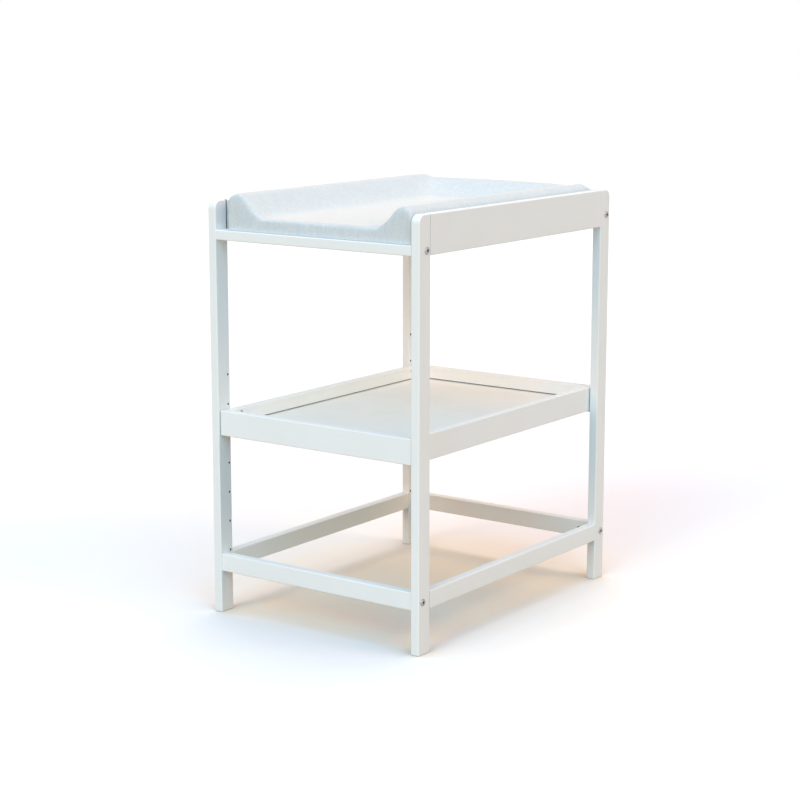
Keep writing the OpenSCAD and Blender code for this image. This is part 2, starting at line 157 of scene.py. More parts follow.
@dataclass(frozen=True)
class Block:
    """A box along the axes, given by its lowest and highest corners."""

    low: Vector
    high: Vector

    @classmethod
    def of_node(cls, node: str) -> "Block":
        """The box of a CAD node at rest."""
        return cls(*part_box(node))

    @classmethod
    def around(cls, points: Iterable[Vector]) -> "Block":
        """The smallest box that holds some points."""
        points = list(points)
        return cls(*(Vector(pick(p[i] for p in points) for i in range(3)) for pick in (min, max)))

    @property
    def centre(self) -> Vector:
        """The middle of the box."""
        return (self.low + self.high) / 2

    @property
    def size(self) -> Vector:
        """The box's extent along each axis."""
        return self.high - self.low

    @property
    def long_axis(self) -> Axis:
        """The axis along which the box is longest."""
        return Axis(max(range(3), key=lambda i: self.size[i]))

    def grown(self, below: Vector, above: Vector) -> "Block":
        """The box with its low corner moved down by one vector and its high corner up by another."""
        return Block(self.low - below, self.high + above)

    def meets(self, other: "Block") -> bool:
        """Whether the two boxes overlap.

        Args:
            other: The other box.

        Returns:
            True if they do, and False if they just touch.
        """
        return all(
            self.low[i] < other.high[i] - TOUCH and other.low[i] < self.high[i] - TOUCH for i in range(3)
        )

    def walls_hold(self, face: MeshPolygon) -> bool:
        """Whether a flat face lies on one of the box's six sides.

        Args:
            face: The face of a mesh.

        Returns:
            True if it does.
        """
        side = max(range(3), key=lambda i: abs(face.normal[i]))
        on_side = min(abs(face.center[side] - end[side]) for end in (self.low, self.high)) < TOUCH
        room = Vector((TOUCH,) * 3)
        wide = self.grown(room, room)
        return on_side and all(wide.low[i] < face.center[i] < wide.high[i] for i in range(3))

    def add_to(self, bm: BMesh) -> None:
        """Adds the box to a mesh.

        Args:
            bm: The mesh.
        """
        corners = bmesh.ops.create_cube(bm, size=1.0)["verts"]
        bmesh.ops.scale(bm, vec=self.size, verts=corners)
        bmesh.ops.translate(bm, vec=self.centre, verts=corners)


@dataclass(frozen=True)
class Bore:
    """A round hole along a line, with an eased mouth where it starts."""

    start: Vector
    end: Vector
    radius: float
    mouth: float = 0.0
    sides: int = 32

    @property
    def block(self) -> Block:
        """The box that the hole's middle line fills, widened by its radius."""
        wide = Vector((self.radius,) * 3)
        return Block.around((self.start, self.end)).grown(wide, wide)

    def walls_hold(self, face: MeshPolygon) -> bool:
        """Whether a flat face lies on the hole's wall or at one of its ends, but not on its eased mouth.

        Args:
            face: The face of a mesh.

        Returns:
            True if it does.
        """
        along = (self.end - self.start).normalized()
        out = face.center - self.start
        depth = out.dot(along)
        length = (self.end - self.start).length
        off_line = (out - along * depth).length
        slope = abs(face.normal.dot(along))
        if slope < SQUARE:
            return self.mouth / 2 < depth < length + TOUCH and off_line < self.radius + TOUCH
        at_end = min(abs(depth), abs(length - depth)) < TOUCH
        return slope > 1 - SQUARE and off_line < self.radius and at_end

    def add_to(self, bm: BMesh) -> None:
        """Adds the solid that cuts this hole to a mesh of tools.

        Args:
            bm: The mesh of tools.
        """
        cones = [(self.start, self.end, self.radius)]
        if self.mouth > 0:
            way = (self.end - self.start).normalized() * self.mouth
            cones.append((self.start - way, self.start + way, self.radius + 2 * self.mouth))
        for start, end, start_radius in cones:
            bmesh.ops.create_cone(
                bm,
                cap_ends=True,
                segments=self.sides,
                radius1=start_radius,
                radius2=self.radius,
                depth=(end - start).length,
                matrix=placing((start + end) / 2, end - start),
            )


def placing(at: Vector, along: Vector) -> Matrix:
    """The move that puts a shape's origin at a place and turns its Z along a direction."""
    return Matrix.Translation(at) @ along.to_track_quat("Z", "Y").to_matrix().to_4x4()


@contextmanager
def editing(piece: Object) -> Iterator[BMesh]:
    """Opens a piece's mesh, with its normals up to date, and writes it back afterwards.

    Args:
        piece: The object.

    Yields:
        The mesh while it is open.
    """
    bm = bmesh.new()
    bm.from_mesh(piece.data)
    bm.normal_update()
    yield bm
    bm.to_mesh(piece.data)
    bm.free()


def linked(name: str, data: bpy.types.ID) -> Object:
    """Puts a new object with some data into the scene.

    Args:
        name: The object's name.
        data: Its mesh, lamp or camera.

    Returns:
        The object.
    """
    made = bpy.data.objects.new(name, data)
    bpy.context.scene.collection.objects.link(made)
    return made


def new_piece(bm: BMesh, name: str) -> Object:
    """Turns a mesh under construction into an object in the scene.

    Args:
        bm: The finished shape, which is freed.
        name: The object's name.

    Returns:
        The object, at the origin.
    """
    bmesh.ops.recalc_face_normals(bm, faces=bm.faces)
    mesh = bpy.data.meshes.new(name)
    bm.to_mesh(mesh)
    bm.free()
    return linked(name, mesh)


def settle(piece: Object) -> None:
    """Applies a piece's modifiers to its mesh.

    Args:
        piece: The object, which has no modifiers afterwards.
    """
    shown = piece.evaluated_get(bpy.context.evaluated_depsgraph_get())
    mesh = bpy.data.meshes.new_from_object(shown)
    old = piece.data
    piece.modifiers.clear()
    piece.data = mesh
    bpy.data.meshes.remove(old)


def discard(piece: Object) -> None:
    """Removes a helper object and its mesh.

    Args:
        piece: The object.
    """
    mesh = piece.data
    bpy.data.objects.remove(piece)
    bpy.data.meshes.remove(mesh)


def carve(piece: Object, tools: BMesh) -> None:
    """Cuts closed shapes out of a piece.

    Args:
        piece: The object that is cut.
        tools: The shapes to take away, which may cross each other. It is freed.
    """
    tool = new_piece(tools, piece.name + "_tools")
    cut = piece.modifiers.new("cut", "BOOLEAN")
    cut.operation = "DIFFERENCE"
    cut.solver = "EXACT"
    cut.use_self = True
    cut.object = tool
    settle(piece)
    discard(tool)


def round_edges(bm: BMesh, edges: list[BMEdge], radius: float, facets: int) -> list[BMFace]:
    """Rounds edges of a mesh.

    Args:
        bm: The mesh.
        edges: The edges, of which there may be none.
        radius: The radius.
        facets: How many facets a round has.

    Returns:
        The new faces.
    """
    if not edges:
        return []
    made = bmesh.ops.bevel(
        bm, geom=edges, offset=radius, affect="EDGES", segments=facets, profile=0.5, material=-1
    )
    bm.normal_update()
    return made["faces"]


def smooth_shading(piece: Object, sharp_above: float = 38.0) -> None:
    """Shades a piece smooth, apart from edges that turn by more than an angle in degrees.

    Args:
        piece: The object.
        sharp_above: The angle up to which an edge is smooth.
    """
    mesh = piece.data
    mesh.shade_smooth()
    mesh.set_sharp_from_angle(angle=math.radians(sharp_above))
    weighted = piece.modifiers.new("even_normals", "WEIGHTED_NORMAL")
    weighted.keep_sharp = True


def solids_of(node: str) -> list[Block]:
    """The boxes of the separate solids in a CAD node.

    Args:
        node: The CAD node's name.

    Returns:
        One box for each solid.
    """
    bm = bmesh.new()
    bm.from_mesh(frame["nodes"][node].data)
    bmesh.ops.remove_doubles(bm, verts=bm.verts, dist=TOUCH)
    left = set(bm.verts)
    blocks = []
    while left:
        reached = [left.pop()]
        solid = []
        while reached:
            vert = reached.pop()
            solid.append(vert.co.copy())
            near = {e.other_vert(vert) for e in vert.link_edges} & left
            left -= near
            reached.extend(near)
        blocks.append(Block.around(solid))
    bm.free()
    return blocks


def report(piece: Object) -> None:
    """Writes one line on a finished piece to the log."""
    size = piece.dimensions * 1000
    log.info("%s: %.0f x %.0f x %.0f mm, %d faces", piece.name, *size, len(piece.data.polygons))


# ---- Node trees ----


class Wiring:
    """A node tree that is being written."""

    def __init__(self, tree: NodeTree) -> None:
        """Starts writing into a tree."""
        self.tree = tree

    def add(self, kind: str, inputs: dict | None = None, **settings: object) -> Node:
        """Adds a node.

        Args:
            kind: The node's type, without the ShaderNode in front.
            inputs: What goes into its inputs, by name or number.
            settings: The node's own properties.

        Returns:
            The new node.
        """
        node = self.tree.nodes.new("ShaderNode" + kind)
        for name, value in settings.items():
            setattr(node, name, value)
        for name, value in (inputs or {}).items():
            self.put(value, node.inputs[name])
        return node

    def put(self, value: object, socket: NodeSocket) -> None:
        """Joins a socket to an input, or sets the input to a number, a vector or a Color.

        Args:
            value: The socket or the setting.
            socket: The input.
        """
        if isinstance(value, NodeSocket):
            self.tree.links.new(value, socket)
        elif socket.type == "RGBA":
            socket.default_value = (*value, 1.0)
        else:
            socket.default_value = value

    def math(self, operation: str, first: object, second: object) -> NodeSocket:
        """The result of a sum on two values, each a socket or a number."""
        return self.add("Math", {0: first, 1: second}, operation=operation).outputs[0]

    def blend(self, share: object, first: object, second: object) -> NodeSocket:
        """A mix of two colours, with a share of the second one."""
        return self.add("Mix", {0: share, 6: first, 7: second}, data_type="RGBA").outputs[2]

    def between(self, value: object, low: float, high: float) -> NodeSocket:
        """A value mapped smoothly from a range to 0 to 1."""
        spread = {"Value": value, "From Min": low, "From Max": high}
        return self.add("MapRange", spread, interpolation_type="SMOOTHSTEP").outputs[0]

    def noise(self, place: object, waves: object, detail: float = 2.0, rough: float = 0.5) -> NodeSocket:
        """A noise value around a half at a place, with a number of waves in a metre."""
        settings = {"Vector": place, "Scale": waves, "Detail": detail, "Roughness": rough}
        return self.add("TexNoise", settings).outputs["Fac"]

    def group(self, tree: NodeTree, **values: object) -> NodeOutputs:
        """Places a node group with its own values, and gives its outputs.

        Args:
            tree: The group's tree.
            values: Its inputs, by name.

        Returns:
            The outputs, by name.
        """
        node = self.add("Group", node_tree=tree)
        for name, value in values.items():
            self.put(value, node.inputs[name])
        return node.outputs


class Effect(Wiring):
    """A shader node group that several finishes share."""

    # Sockets that aren't plain numbers
    kinds = {"Vector": "Vector", "Color": "Color", "Drift": "Color"}

    def __init__(self, name: str, inputs: str, outputs: str) -> None:
        """Makes the group and its sockets, from their names.

        Args:
            name: The group's name.
            inputs: The names of its inputs.
            outputs: The names of its outputs.
        """
        super().__init__(bpy.data.node_groups.new(name, "ShaderNodeTree"))
        for way, labels in (("INPUT", inputs), ("OUTPUT", outputs)):
            for label in labels.split():
                kind = "NodeSocket" + self.kinds.get(label, "Float")
                self.tree.interface.new_socket(name=label, in_out=way, socket_type=kind)
        self.given = self.tree.nodes.new("NodeGroupInput").outputs
        self.made = self.tree.nodes.new("NodeGroupOutput").inputs


@cache
def tone_variation() -> NodeTree:
    """The group that lets a colour drift slowly towards another one over the surface.

    Returns:
        The node group.
    """
    effect = Effect("tone_variation", "Vector Color Drift Waves Amount", "Color")
    given = effect.given
    cloud = effect.noise(given["Vector"], given["Waves"], detail=3.0, rough=0.55)
    share = effect.math("MULTIPLY", effect.between(cloud, low=0.32, high=0.68), given["Amount"])
    effect.put(effect.blend(share, given["Color"], given["Drift"]), effect.made["Color"])
    return effect.tree


@cache
def wood_grain() -> NodeTree:
    """The group that draws grain along the vector's Z: long fibres, and broader growth bands.

    Returns:
        The node group.
    """
    effect = Effect("wood_grain", "Vector Waves Stretch", "Fibres Bands")
    given = effect.given
    fibres_to_a_band = 4.0
    parts = effect.add("SeparateXYZ", {0: given["Vector"]}).outputs
    along = effect.math("DIVIDE", parts["Z"], given["Stretch"])
    place = effect.add("CombineXYZ", {"X": parts["X"], "Y": parts["Y"], "Z": along}).outputs[0]
    close = effect.math("MULTIPLY", given["Waves"], fibres_to_a_band)
    fine = effect.noise(place, close, detail=3.0, rough=0.6)
    broad = effect.noise(place, given["Waves"], detail=1.5)
    effect.put(effect.between(fine, low=0.42, high=0.72), effect.made["Fibres"])
    effect.put(effect.between(broad, low=0.35, high=0.65), effect.made["Bands"])
    return effect.tree


@cache
def fine_relief() -> NodeTree:
    """The group that gives the height of a fine, even unevenness, such as sprayed paint's.

    Returns:
        The node group.
    """
    effect = Effect("fine_relief", "Vector Waves", "Height")
    given = effect.given
    finer = 3.1
    lower = 0.3
    soft = effect.noise(given["Vector"], given["Waves"], detail=1.0)
    sharp = effect.noise(given["Vector"], effect.math("MULTIPLY", given["Waves"], finer), detail=0.5)
    effect.put(effect.math("ADD", soft, effect.math("MULTIPLY", sharp, lower)), effect.made["Height"])
    return effect.tree


@cache
def handled_gloss() -> NodeTree:
    """The group that varies roughness where a surface has been wiped and handled.

    Returns:
        The node group.
    """
    effect = Effect("handled_gloss", "Vector Roughness Spread Waves", "Roughness")
    given = effect.given
    cloud = effect.math("SUBTRACT", effect.noise(given["Vector"], given["Waves"], detail=4.0), 0.5)
    shift = effect.math("MULTIPLY", cloud, given["Spread"])
    effect.put(effect.math("ADD", given["Roughness"], shift), effect.made["Roughness"])
    return effect.tree


@cache
def loop_pile() -> NodeTree:
    """The group for a short loop pile: rounded loops, and the shade between them.

    Returns:
        The node group.
    """
    effect = Effect("loop_pile", "Vector Loops", "Height Shade")
    given = effect.given
    stray = 0.0022
    stir = {"Vector": given["Vector"], "Scale": 220.0, "Detail": 1.0}
    wander = effect.add("TexNoise", stir).outputs["Color"]
    shift = effect.add("VectorMath", {0: wander, 1: (stray,) * 3}, operation="MULTIPLY").outputs[0]
    place = effect.add("VectorMath", {0: given["Vector"], 1: shift}, operation="ADD").outputs[0]
    cells = effect.add("TexVoronoi", {"Vector": place, "Scale": given["Loops"], "Randomness": 0.85})
    far = cells.outputs["Distance"]
    effect.put(effect.math("SUBTRACT", 1.0, effect.math("MULTIPLY", far, far)), effect.made["Height"])
    effect.put(effect.between(far, low=0.35, high=0.85), effect.made["Shade"])
    return effect.tree


# ---- Finishes ----


class Surface(Wiring):
    """A material that is being written, with the shared effects at hand."""

    def __init__(self, name: str) -> None:
        """Starts a material with a Principled shader.

        Args:
            name: The material's name.
        """
        self.material = bpy.data.materials.new(name)
        self.material.use_nodes = True
        super().__init__(self.material.node_tree)
        self.inputs = self.tree.nodes["Principled BSDF"].inputs
        self.place = self.add("TexCoord").outputs["Object"]

    def along(self, grain: Axis) -> NodeSocket:
        """The place on the object, turned so that its Z runs along the grain."""
        turn = Axis.Z.unit.rotation_difference(grain.unit).inverted().to_euler()
        return self.add("Mapping", {"Vector": self.place, "Rotation": turn}).outputs[0]

    def drift(
        self, color: object, other: Color, waves: float, amount: float, place: NodeSocket | None = None
    ) -> NodeSocket:
        """A colour that drifts slowly towards another one.

        Args:
            color: The colour, or a socket that gives it.
            other: The other colour.
            waves: How many times it comes and goes in a metre.
            amount: How far it goes at the most, from 0 to 1.
            place: Where on the surface, if not just there.

        Returns:
            The varied colour.
        """
        at = place or self.place
        tree = tone_variation()
        return self.group(tree, Vector=at, Color=color, Drift=other, Waves=waves, Amount=amount)["Color"]

    def stain(self, mask: NodeSocket, color: object, other: Color, amount: float) -> NodeSocket:
        """A colour with another one laid over it where a mask says."""
        return self.blend(self.math("MULTIPLY", mask, amount), color, other)

    def grain(self, place: NodeSocket, waves: float, stretch: float) -> NodeOutputs:
        """Fibres and bands along the Z of a place."""
        return self.group(wood_grain(), Vector=place, Waves=waves, Stretch=stretch)

    def relief(self, waves: float) -> NodeSocket:
        """The height of a fine, even unevenness."""
        return self.group(fine_relief(), Vector=self.place, Waves=waves)["Height"]

    def pile(self, loops: float) -> NodeOutputs:
        """The height of small rounded loops or cells, and the shade between them."""
        return self.group(loop_pile(), Vector=self.place, Loops=loops)

    def gloss(self, roughness: float, spread: float, waves: float) -> NodeSocket:
        """A roughness that handling has varied."""
        tree = handled_gloss()
        return self.group(tree, Vector=self.place, Roughness=roughness, Spread=spread, Waves=waves)[0]


@dataclass(frozen=True)
class Finish:
    """What every finish has: the record's slot, a main colour, a handled gloss and a relief."""

    slot: str
    color: Color
    roughness: float
    # How far handling shifts the roughness, and how many patches of it there are in a metre
    handling: float
    patches: float
    # How strongly the relief shows, and its height
    bump: float
    bump_height: float

    def finished(self, surface: Surface, color: NodeSocket, height: NodeSocket) -> Material:
        """Joins colour, gloss and relief to a surface's shader.

        Args:
            surface: The material that is being written.
            color: Its colour.
            height: The height of its relief.

        Returns:
            The finished material.
        """
        gloss = surface.gloss(self.roughness, self.handling, self.patches)
        relief = {"Height": height, "Strength": self.bump, "Distance": self.bump_height}
        normal = surface.add("Bump", relief).outputs[0]
        for name, value in (("Base Color", color), ("Roughness", gloss), ("Normal", normal)):
            surface.put(value, surface.inputs[name])
        return surface.material


@dataclass(frozen=True)
class PaintedWood(Finish):
    """Sprayed satin paint on solid wood: faint grain, orange peel, a warm painted highlight on rounded
    edges.
    """

    slot: str = "painted_wood"
    color: Color = (0.9, 0.92, 0.925)
    roughness: float = 0.42
    handling: float = 0.16
    patches: float = 14.0
    bump: float = 0.25
    bump_height: float = 0.00008
    # How high the grain stands in the relief
    grain_height: float = 0.5
    shaded: Color = (0.87, 0.885, 0.885)
    # Painted highlight: a warmer, lighter white laid on the rounded edges
    edge: Color = (0.94, 0.94, 0.92)
    # Raw wood inside holes and grooves, which the spray doesn't reach, darkened as painted shade there
    bare: Color = (0.11, 0.1, 0.09)

    @cache
    def material(self, grain: Axis) -> Material:
        """The paint on a board whose grain runs along an axis.

        Args:
            grain: The axis.

        Returns:
            The material.
        """
        surface = Surface(f"satin_paint_grain_{grain.name}")
        along = surface.along(grain)
        fibres = surface.grain(along, waves=90.0, stretch=26.0)["Fibres"]
        paint = surface.drift(self.color, self.shaded, waves=9.0, amount=0.5, place=along)
        paint = surface.stain(fibres, paint, self.shaded, amount=0.16)
        # The rounded edges take the painted highlight, and holes, grooves and seams the dark painted shade
        for name, amount, tint in (("edge", 0.8, self.edge), ("bare", 1.0, self.bare)):
            mask = surface.add("Attribute", attribute_name=name).outputs["Fac"]
            paint = surface.stain(mask, paint, tint, amount)
        raised = surface.math("MULTIPLY", fibres, self.grain_height)
        height = surface.math("ADD", surface.relief(waves=520.0), raised)
        return self.finished(surface, paint, height)


@dataclass(frozen=True)
class FacedPanel(Finish):
    """White faced thin board: matte, with a fine even texture and a faint cloudiness."""

    slot: str = "painted_panel"
    color: Color = (0.87, 0.875, 0.865)
    roughness: float = 0.55
    handling: float = 0.12
    patches: float = 18.0
    bump: float = 0.2
    bump_height: float = 0.00005
    cloud: Color = (0.835, 0.84, 0.825)

    @cache
    def material(self) -> Material:
        """The facing on the tray's bottom panel.

        Returns:
            The material.
        """
        surface = Surface("white_facing")
        facing = surface.drift(self.color, self.cloud, waves=12.0, amount=0.6)
        return self.finished(surface, facing, surface.relief(waves=900.0))


@dataclass(frozen=True)
class ZincPlate(Finish):
    """Zinc plate on steel, darkened as painted shade: cloudy gloss with fine scratches and darker, duller
    patches.
    """

    slot: str = "steel"
    # Far darker than real zinc: painted shade in place of the darker surroundings that the plate would
    # mirror
    color: Color = (0.42, 0.4, 0.43)
    roughness: float = 0.22
    handling: float = 0.25
    patches: float = 500.0
    bump: float = 0.2
    bump_height: float = 0.00003
    dull: Color = (0.22, 0.2, 0.19)

    @cache
    def material(self) -> Material:
        """The plating on bolts, nuts, pins and cams.

        Returns:
            The material.
        """
        surface = Surface("zinc_plate")
        surface.put(1.0, surface.inputs["Metallic"])
        plate = surface.drift(self.color, self.dull, waves=260.0, amount=0.4)
        return self.finished(surface, plate, surface.relief(waves=1500.0))


@dataclass(frozen=True)
class BareBeech(Finish):
    """Turned beech: fine grain along the dowel with short darker flecks."""

    slot: str = "beech"
    color: Color = (0.72, 0.5, 0.31)
    roughness: float = 0.65
    handling: float = 0.15
    patches: float = 300.0
    bump: float = 0.4
    bump_height: float = 0.0001
    late_wood: Color = (0.55, 0.34, 0.19)
    fleck: Color = (0.4, 0.22, 0.12)

    @cache
    def material(self, grain: Axis) -> Material:
        """The wood of dowels that lie along an axis.

        Args:
            grain: The axis.

        Returns:
            The material.
        """
        surface = Surface(f"bare_beech_{grain.name}")
        fibres = surface.grain(surface.along(grain), waves=420.0, stretch=14.0)
        wood = surface.stain(fibres["Bands"], self.color, self.late_wood, amount=0.6)
        wood = surface.stain(fibres["Fibres"], wood, self.fleck, amount=0.4)
        return self.finished(surface, wood, fibres["Fibres"])


@dataclass(frozen=True)
class OpenFoam(Finish):
    """Cream polyurethane foam with open cells."""

    slot: str = "foam"
    color: Color = (0.86, 0.8, 0.62)
    roughness: float = 0.95
    handling: float = 0.1
    patches: float = 60.0
    bump: float = 0.5
    bump_height: float = 0.0006
    aged: Color = (0.8, 0.72, 0.5)
    # Painted shade in the hollows of the open cells
    hollow: Color = (0.5, 0.42, 0.26)

    @cache
    def material(self) -> Material:
        """The foam of the mat's core.

        Returns:
            The material.
        """
        surface = Surface("open_foam")
        cells = surface.pile(loops=900.0)
        foam = surface.drift(self.color, self.aged, waves=16.0, amount=0.7)
        foam = surface.stain(cells["Shade"], foam, self.hollow, amount=0.35)
        return self.finished(surface, foam, cells["Height"])


@dataclass(frozen=True)
class Terry(Finish):
    """Pale blue-white terry cloth: a short loop pile that lies in soft streaks."""

    slot: str = "terry"
    color: Color = (0.725, 0.765, 0.78)
    roughness: float = 0.92
    handling: float = 0.1
    patches: float = 40.0
    bump: float = 0.6
    bump_height: float = 0.0006
    cool: Color = (0.635, 0.695, 0.735)
    warm: Color = (0.725, 0.735, 0.725)
    # A darker, worn tone that drifts over the cloth and lies along its streaks
    worn: Color = (0.59, 0.65, 0.675)
    # Painted shade in the hollows between the loops
    hollow: Color = (0.52, 0.58, 0.62)
    # Upright streaks in which the loops lie: how many in a metre, and how long for their width
    streaks: float = 42.0
    streak_length: float = 7.0
    sheen: float = 0.85
    sheen_roughness: float = 0.5

    @cache
    def material(self) -> Material:
        """The cloth of the mat's cover.

        Returns:
            The material.
        """
        surface = Surface("terry_cloth")
        cloth = self.color
        drifts = ((self.cool, 34.0, 0.55), (self.warm, 11.0, 0.5), (self.worn, 150.0, 0.55))
        for tint, waves, amount in drifts:
            cloth = surface.drift(cloth, tint, waves, amount)
        lie = surface.grain(surface.place, self.streaks, self.streak_length)
        cloth = surface.stain(lie["Fibres"], cloth, self.worn, amount=0.55)
        pile = surface.pile(loops=700.0)
        cloth = surface.stain(pile["Shade"], cloth, self.hollow, amount=0.22)
        surface.put(self.sheen, surface.inputs["Sheen Weight"])
        surface.put(self.sheen_roughness, surface.inputs["Sheen Roughness"])
        return self.finished(surface, cloth, pile["Height"])


PAINT = PaintedWood()
FACING = FacedPanel()
ZINC = ZincPlate()
BEECH = BareBeech()
FOAM = OpenFoam()
TERRY = Terry()


def dress(piece: Object, material: Material) -> None:
    """Gives a piece or a CAD node one material all over."""
    piece.data.materials.clear()
    piece.data.materials.append(material)


def complete(piece: Object, look: Finish, body: str, node: str, *grain: Axis) -> None:
    """Gives a new piece its look, and seats it in the place of a CAD node.

    Args:
        piece: The piece.
        look: Its finish.
        body: The CAD body that it moves with.
        node: The CAD node that it stands for.
        grain: The direction of its grain, where the finish has one.
    """
    dress(piece, look.material(*grain))
    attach(piece, body)
    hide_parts(node)
    report(piece)


# ---- Holes for fasteners ----


@dataclass(frozen=True)
class Fixing:
    """A kind of fastener in a CAD node, and the hole that it needs."""

    node: str
    play: float
    # Radius of the shank where a head makes the solid wider
    shank: float | None = None
    # Room past each end of the fastener, and how much further the hole runs towards the middle
    end_room: float = 0.0005
    inward: float = 0.0

    @cache
    def bores(self) -> list[Bore]:
        """The holes for each fastener in the node."""
        return [self._bore(block) for block in solids_of(self.node)]

    def _bore(self, block: Block) -> Bore:
        """The hole for one fastener.

        Args:
            block: The fastener's box.

        Returns:
            The hole.
        """
        axis = block.long_axis
        across = [block.size[i] for i in range(3) if i != axis.value]
        middle = (cad_box[0] + cad_box[1])[axis.value] / 2
        half = axis.unit * (block.size[axis.value] / 2 + self.end_room)
        ends = (block.centre - half, block.centre + half)
        inner, outer = sorted(ends, key=lambda end: abs(end[axis.value] - middle))
        inner = inner + (inner - outer).normalized() * self.inward
        return Bore(outer, inner, (self.shank or max(across) / 2) + self.play)


DOWEL_PLAY = 0.0001
FITTING_PLAY = 0.00015
# Radius of the frame bolts under their heads
BOLT_SHANK = 0.003
BOLTS = [Fixing(f"{side.word}_frame_bolts", play=0.0005, shank=BOLT_SHANK) for side in Side]
NUTS = [Fixing(f"{side.word}_barrel_nuts", play=FITTING_PLAY, inward=0.005) for side in Side]
SIDE_DOWELS = [Fixing(f"{side.word}_side_dowels", play=DOWEL_PLAY) for side in Side]
CROSS_DOWELS = Fixing("cross_dowels", play=DOWEL_PLAY)
PINS_IN_LEG = Fixing("shelf_pins", play=DOWEL_PLAY)
PINS_UNDER_TRAY = Fixing("shelf_pins", play=0.0003, inward=0.01)
TRAY_DOWELS = Fixing("tray_dowels", play=DOWEL_PLAY)
CAMS = Fixing("tray_cams", play=FITTING_PLAY, inward=0.001)
CAM_BOLTS = Fixing("tray_cam_bolts", play=2 * FITTING_PLAY)


def spare_pin_holes(side: Side, depth: float = 0.013, mouth: float = 0.0003) -> list[Bore]:
    """The rows of empty shelf-pin holes in the legs of one side.

    Args:
        side: The side of the table.
        depth: How deep each hole is.
        mouth: How much its rim is eased.

    Returns:
        One hole for each place in the patterns that the record's mounts give for the side.
    """
    bores = []
    for mount in frame["record"]["mounts"]:
        if mount["kind"] != "bolt_pattern" or not mount["name"].startswith(side.word):
            continue
        dims = {name: size / 1000 for name, size in mount["dims"].items()}
        for y in (-0.5, 0.5):
            for z in (-0.5, 0.5):
                shift = Vector((0.0, y * dims["spacing_x_mm"], z * dims["spacing_y_mm"]))
                start = Vector(mount["pos_m"]) + shift
                end = start + Axis.X.unit * side.value * depth
                bores.append(Bore(start, end, dims["hole_r_mm"], mouth=mouth, sides=24))
    return bores


# ---- Boards ----


@dataclass
class Board:
    """One painted board, with rounded edges where they are free and crisp ones where it meets another."""

    node: str
    body: str = "frame"
    butted: tuple[Face, ...] = ()
    # A face whose edges are rounded even where it meets another board
    eased: Face | None = None
    # Left and right faces that are sanded back a little from the CAD solid, and how far
    sanded: tuple[Face, ...] = ()
    sanding: float = 0.0008
    fixings: list[Fixing] = field(default_factory=list)
    holes: list[Bore] = field(default_factory=list)
    grooves: list[Block] = field(default_factory=list)
    # Outer top corner of a leg: the faces that meet there, and its radius
    corner: tuple[Face, Face] | None = None
    corner_radius: float = 0.018
    corner_facets: int = 14
    # Edges that turn by more degrees than this are rounded
    corner_turn: float = 45.0
    edge_radius: float = 0.0022
    edge_facets: int = 4
    butt_radius: float = 0.0003
    butt_facets: int = 2
    # How much of the dark raw-wood colour the ends that meet other boards take, as painted shade in their
    # seams
    seam_bareness: float = 0.3

    def build(self) -> None:
        """Makes, cuts and paints the board."""
        less = [Axis.X.unit * self.sanding * (face in self.sanded) for face in (Face.LEFT, Face.RIGHT)]
        block = Block.of_node(self.node).grown(-less[0], -less[1])
        bm = bmesh.new()
        block.add_to(bm)
        # The rounded free edges are marked for the paint's painted highlight
        worn = bm.faces.layers.float.new("edge")
        if self.corner:
            edges = [e for e in bm.edges if all(self._borders(e, face) for face in self.corner)]
            round_edges(bm, edges, self.corner_radius, self.corner_facets)
        corners = [e for e in bm.edges if e.calc_face_angle() > math.radians(self.corner_turn)]
        free = [e for e in corners if not self._is_butted(e)]
        for face in round_edges(bm, free, self.edge_radius, self.edge_facets):
            face[worn] = 1.0
        butts = [e for e in bm.edges if self._is_butted(e)]
        round_edges(bm, butts, self.butt_radius, self.butt_facets)
        piece = new_piece(bm, "painted_" + self.node)
        self._cut(piece, block)
        smooth_shading(piece)
        complete(piece, PAINT, self.body, self.node, block.long_axis)

    def _borders(self, edge: BMEdge, face: Face) -> bool:
        """Whether an edge borders a flat face that looks in a direction."""
        return any(f.normal.dot(face.normal) > ALIGNED for f in edge.link_faces)

    def _is_butted(self, edge: BMEdge) -> bool:
        """Whether an edge borders a face that meets another board, and stays crisp there.

        Args:
            edge: The edge.

        Returns:
            True if it does.
        """
        if self.eased and self._borders(edge, self.eased):
            return False
        return any(self._borders(edge, face) for face in self.butted)

    def _cut(self, piece: Object, block: Block) -> None:
        """Cuts the holes and grooves, and marks their walls as raw wood in painted shade, except round the
        cams.

        Args:
            piece: The board.
            block: Its box.
        """
        bores = self.holes + [bore for fixing in self.fixings for bore in fixing.bores()]
        cuts = [*self.grooves, *(bore for bore in bores if bore.block.meets(block))]
        if not cuts:
            return
        tools = bmesh.new()
        for cut in cuts:
            cut.add_to(tools)
        carve(piece, tools)
        # Walls of the cuts take the painted shade in full, and ends that meet other boards a share of it
        bare = piece.data.attributes.new("bare", "FLOAT", "FACE")
        walls = [cut for cut in cuts if cut not in CAMS.bores()]
        hidden = [face.normal for face in self.butted]
        for mark, face in zip(bare.data, piece.data.polygons):
            butted = any(face.normal.dot(way) > ALIGNED for way in hidden) and block.walls_hold(face)
            in_cut = any(cut.walls_hold(face) for cut in walls)
            mark.value = 1.0 if in_cut else self.seam_bareness * butted


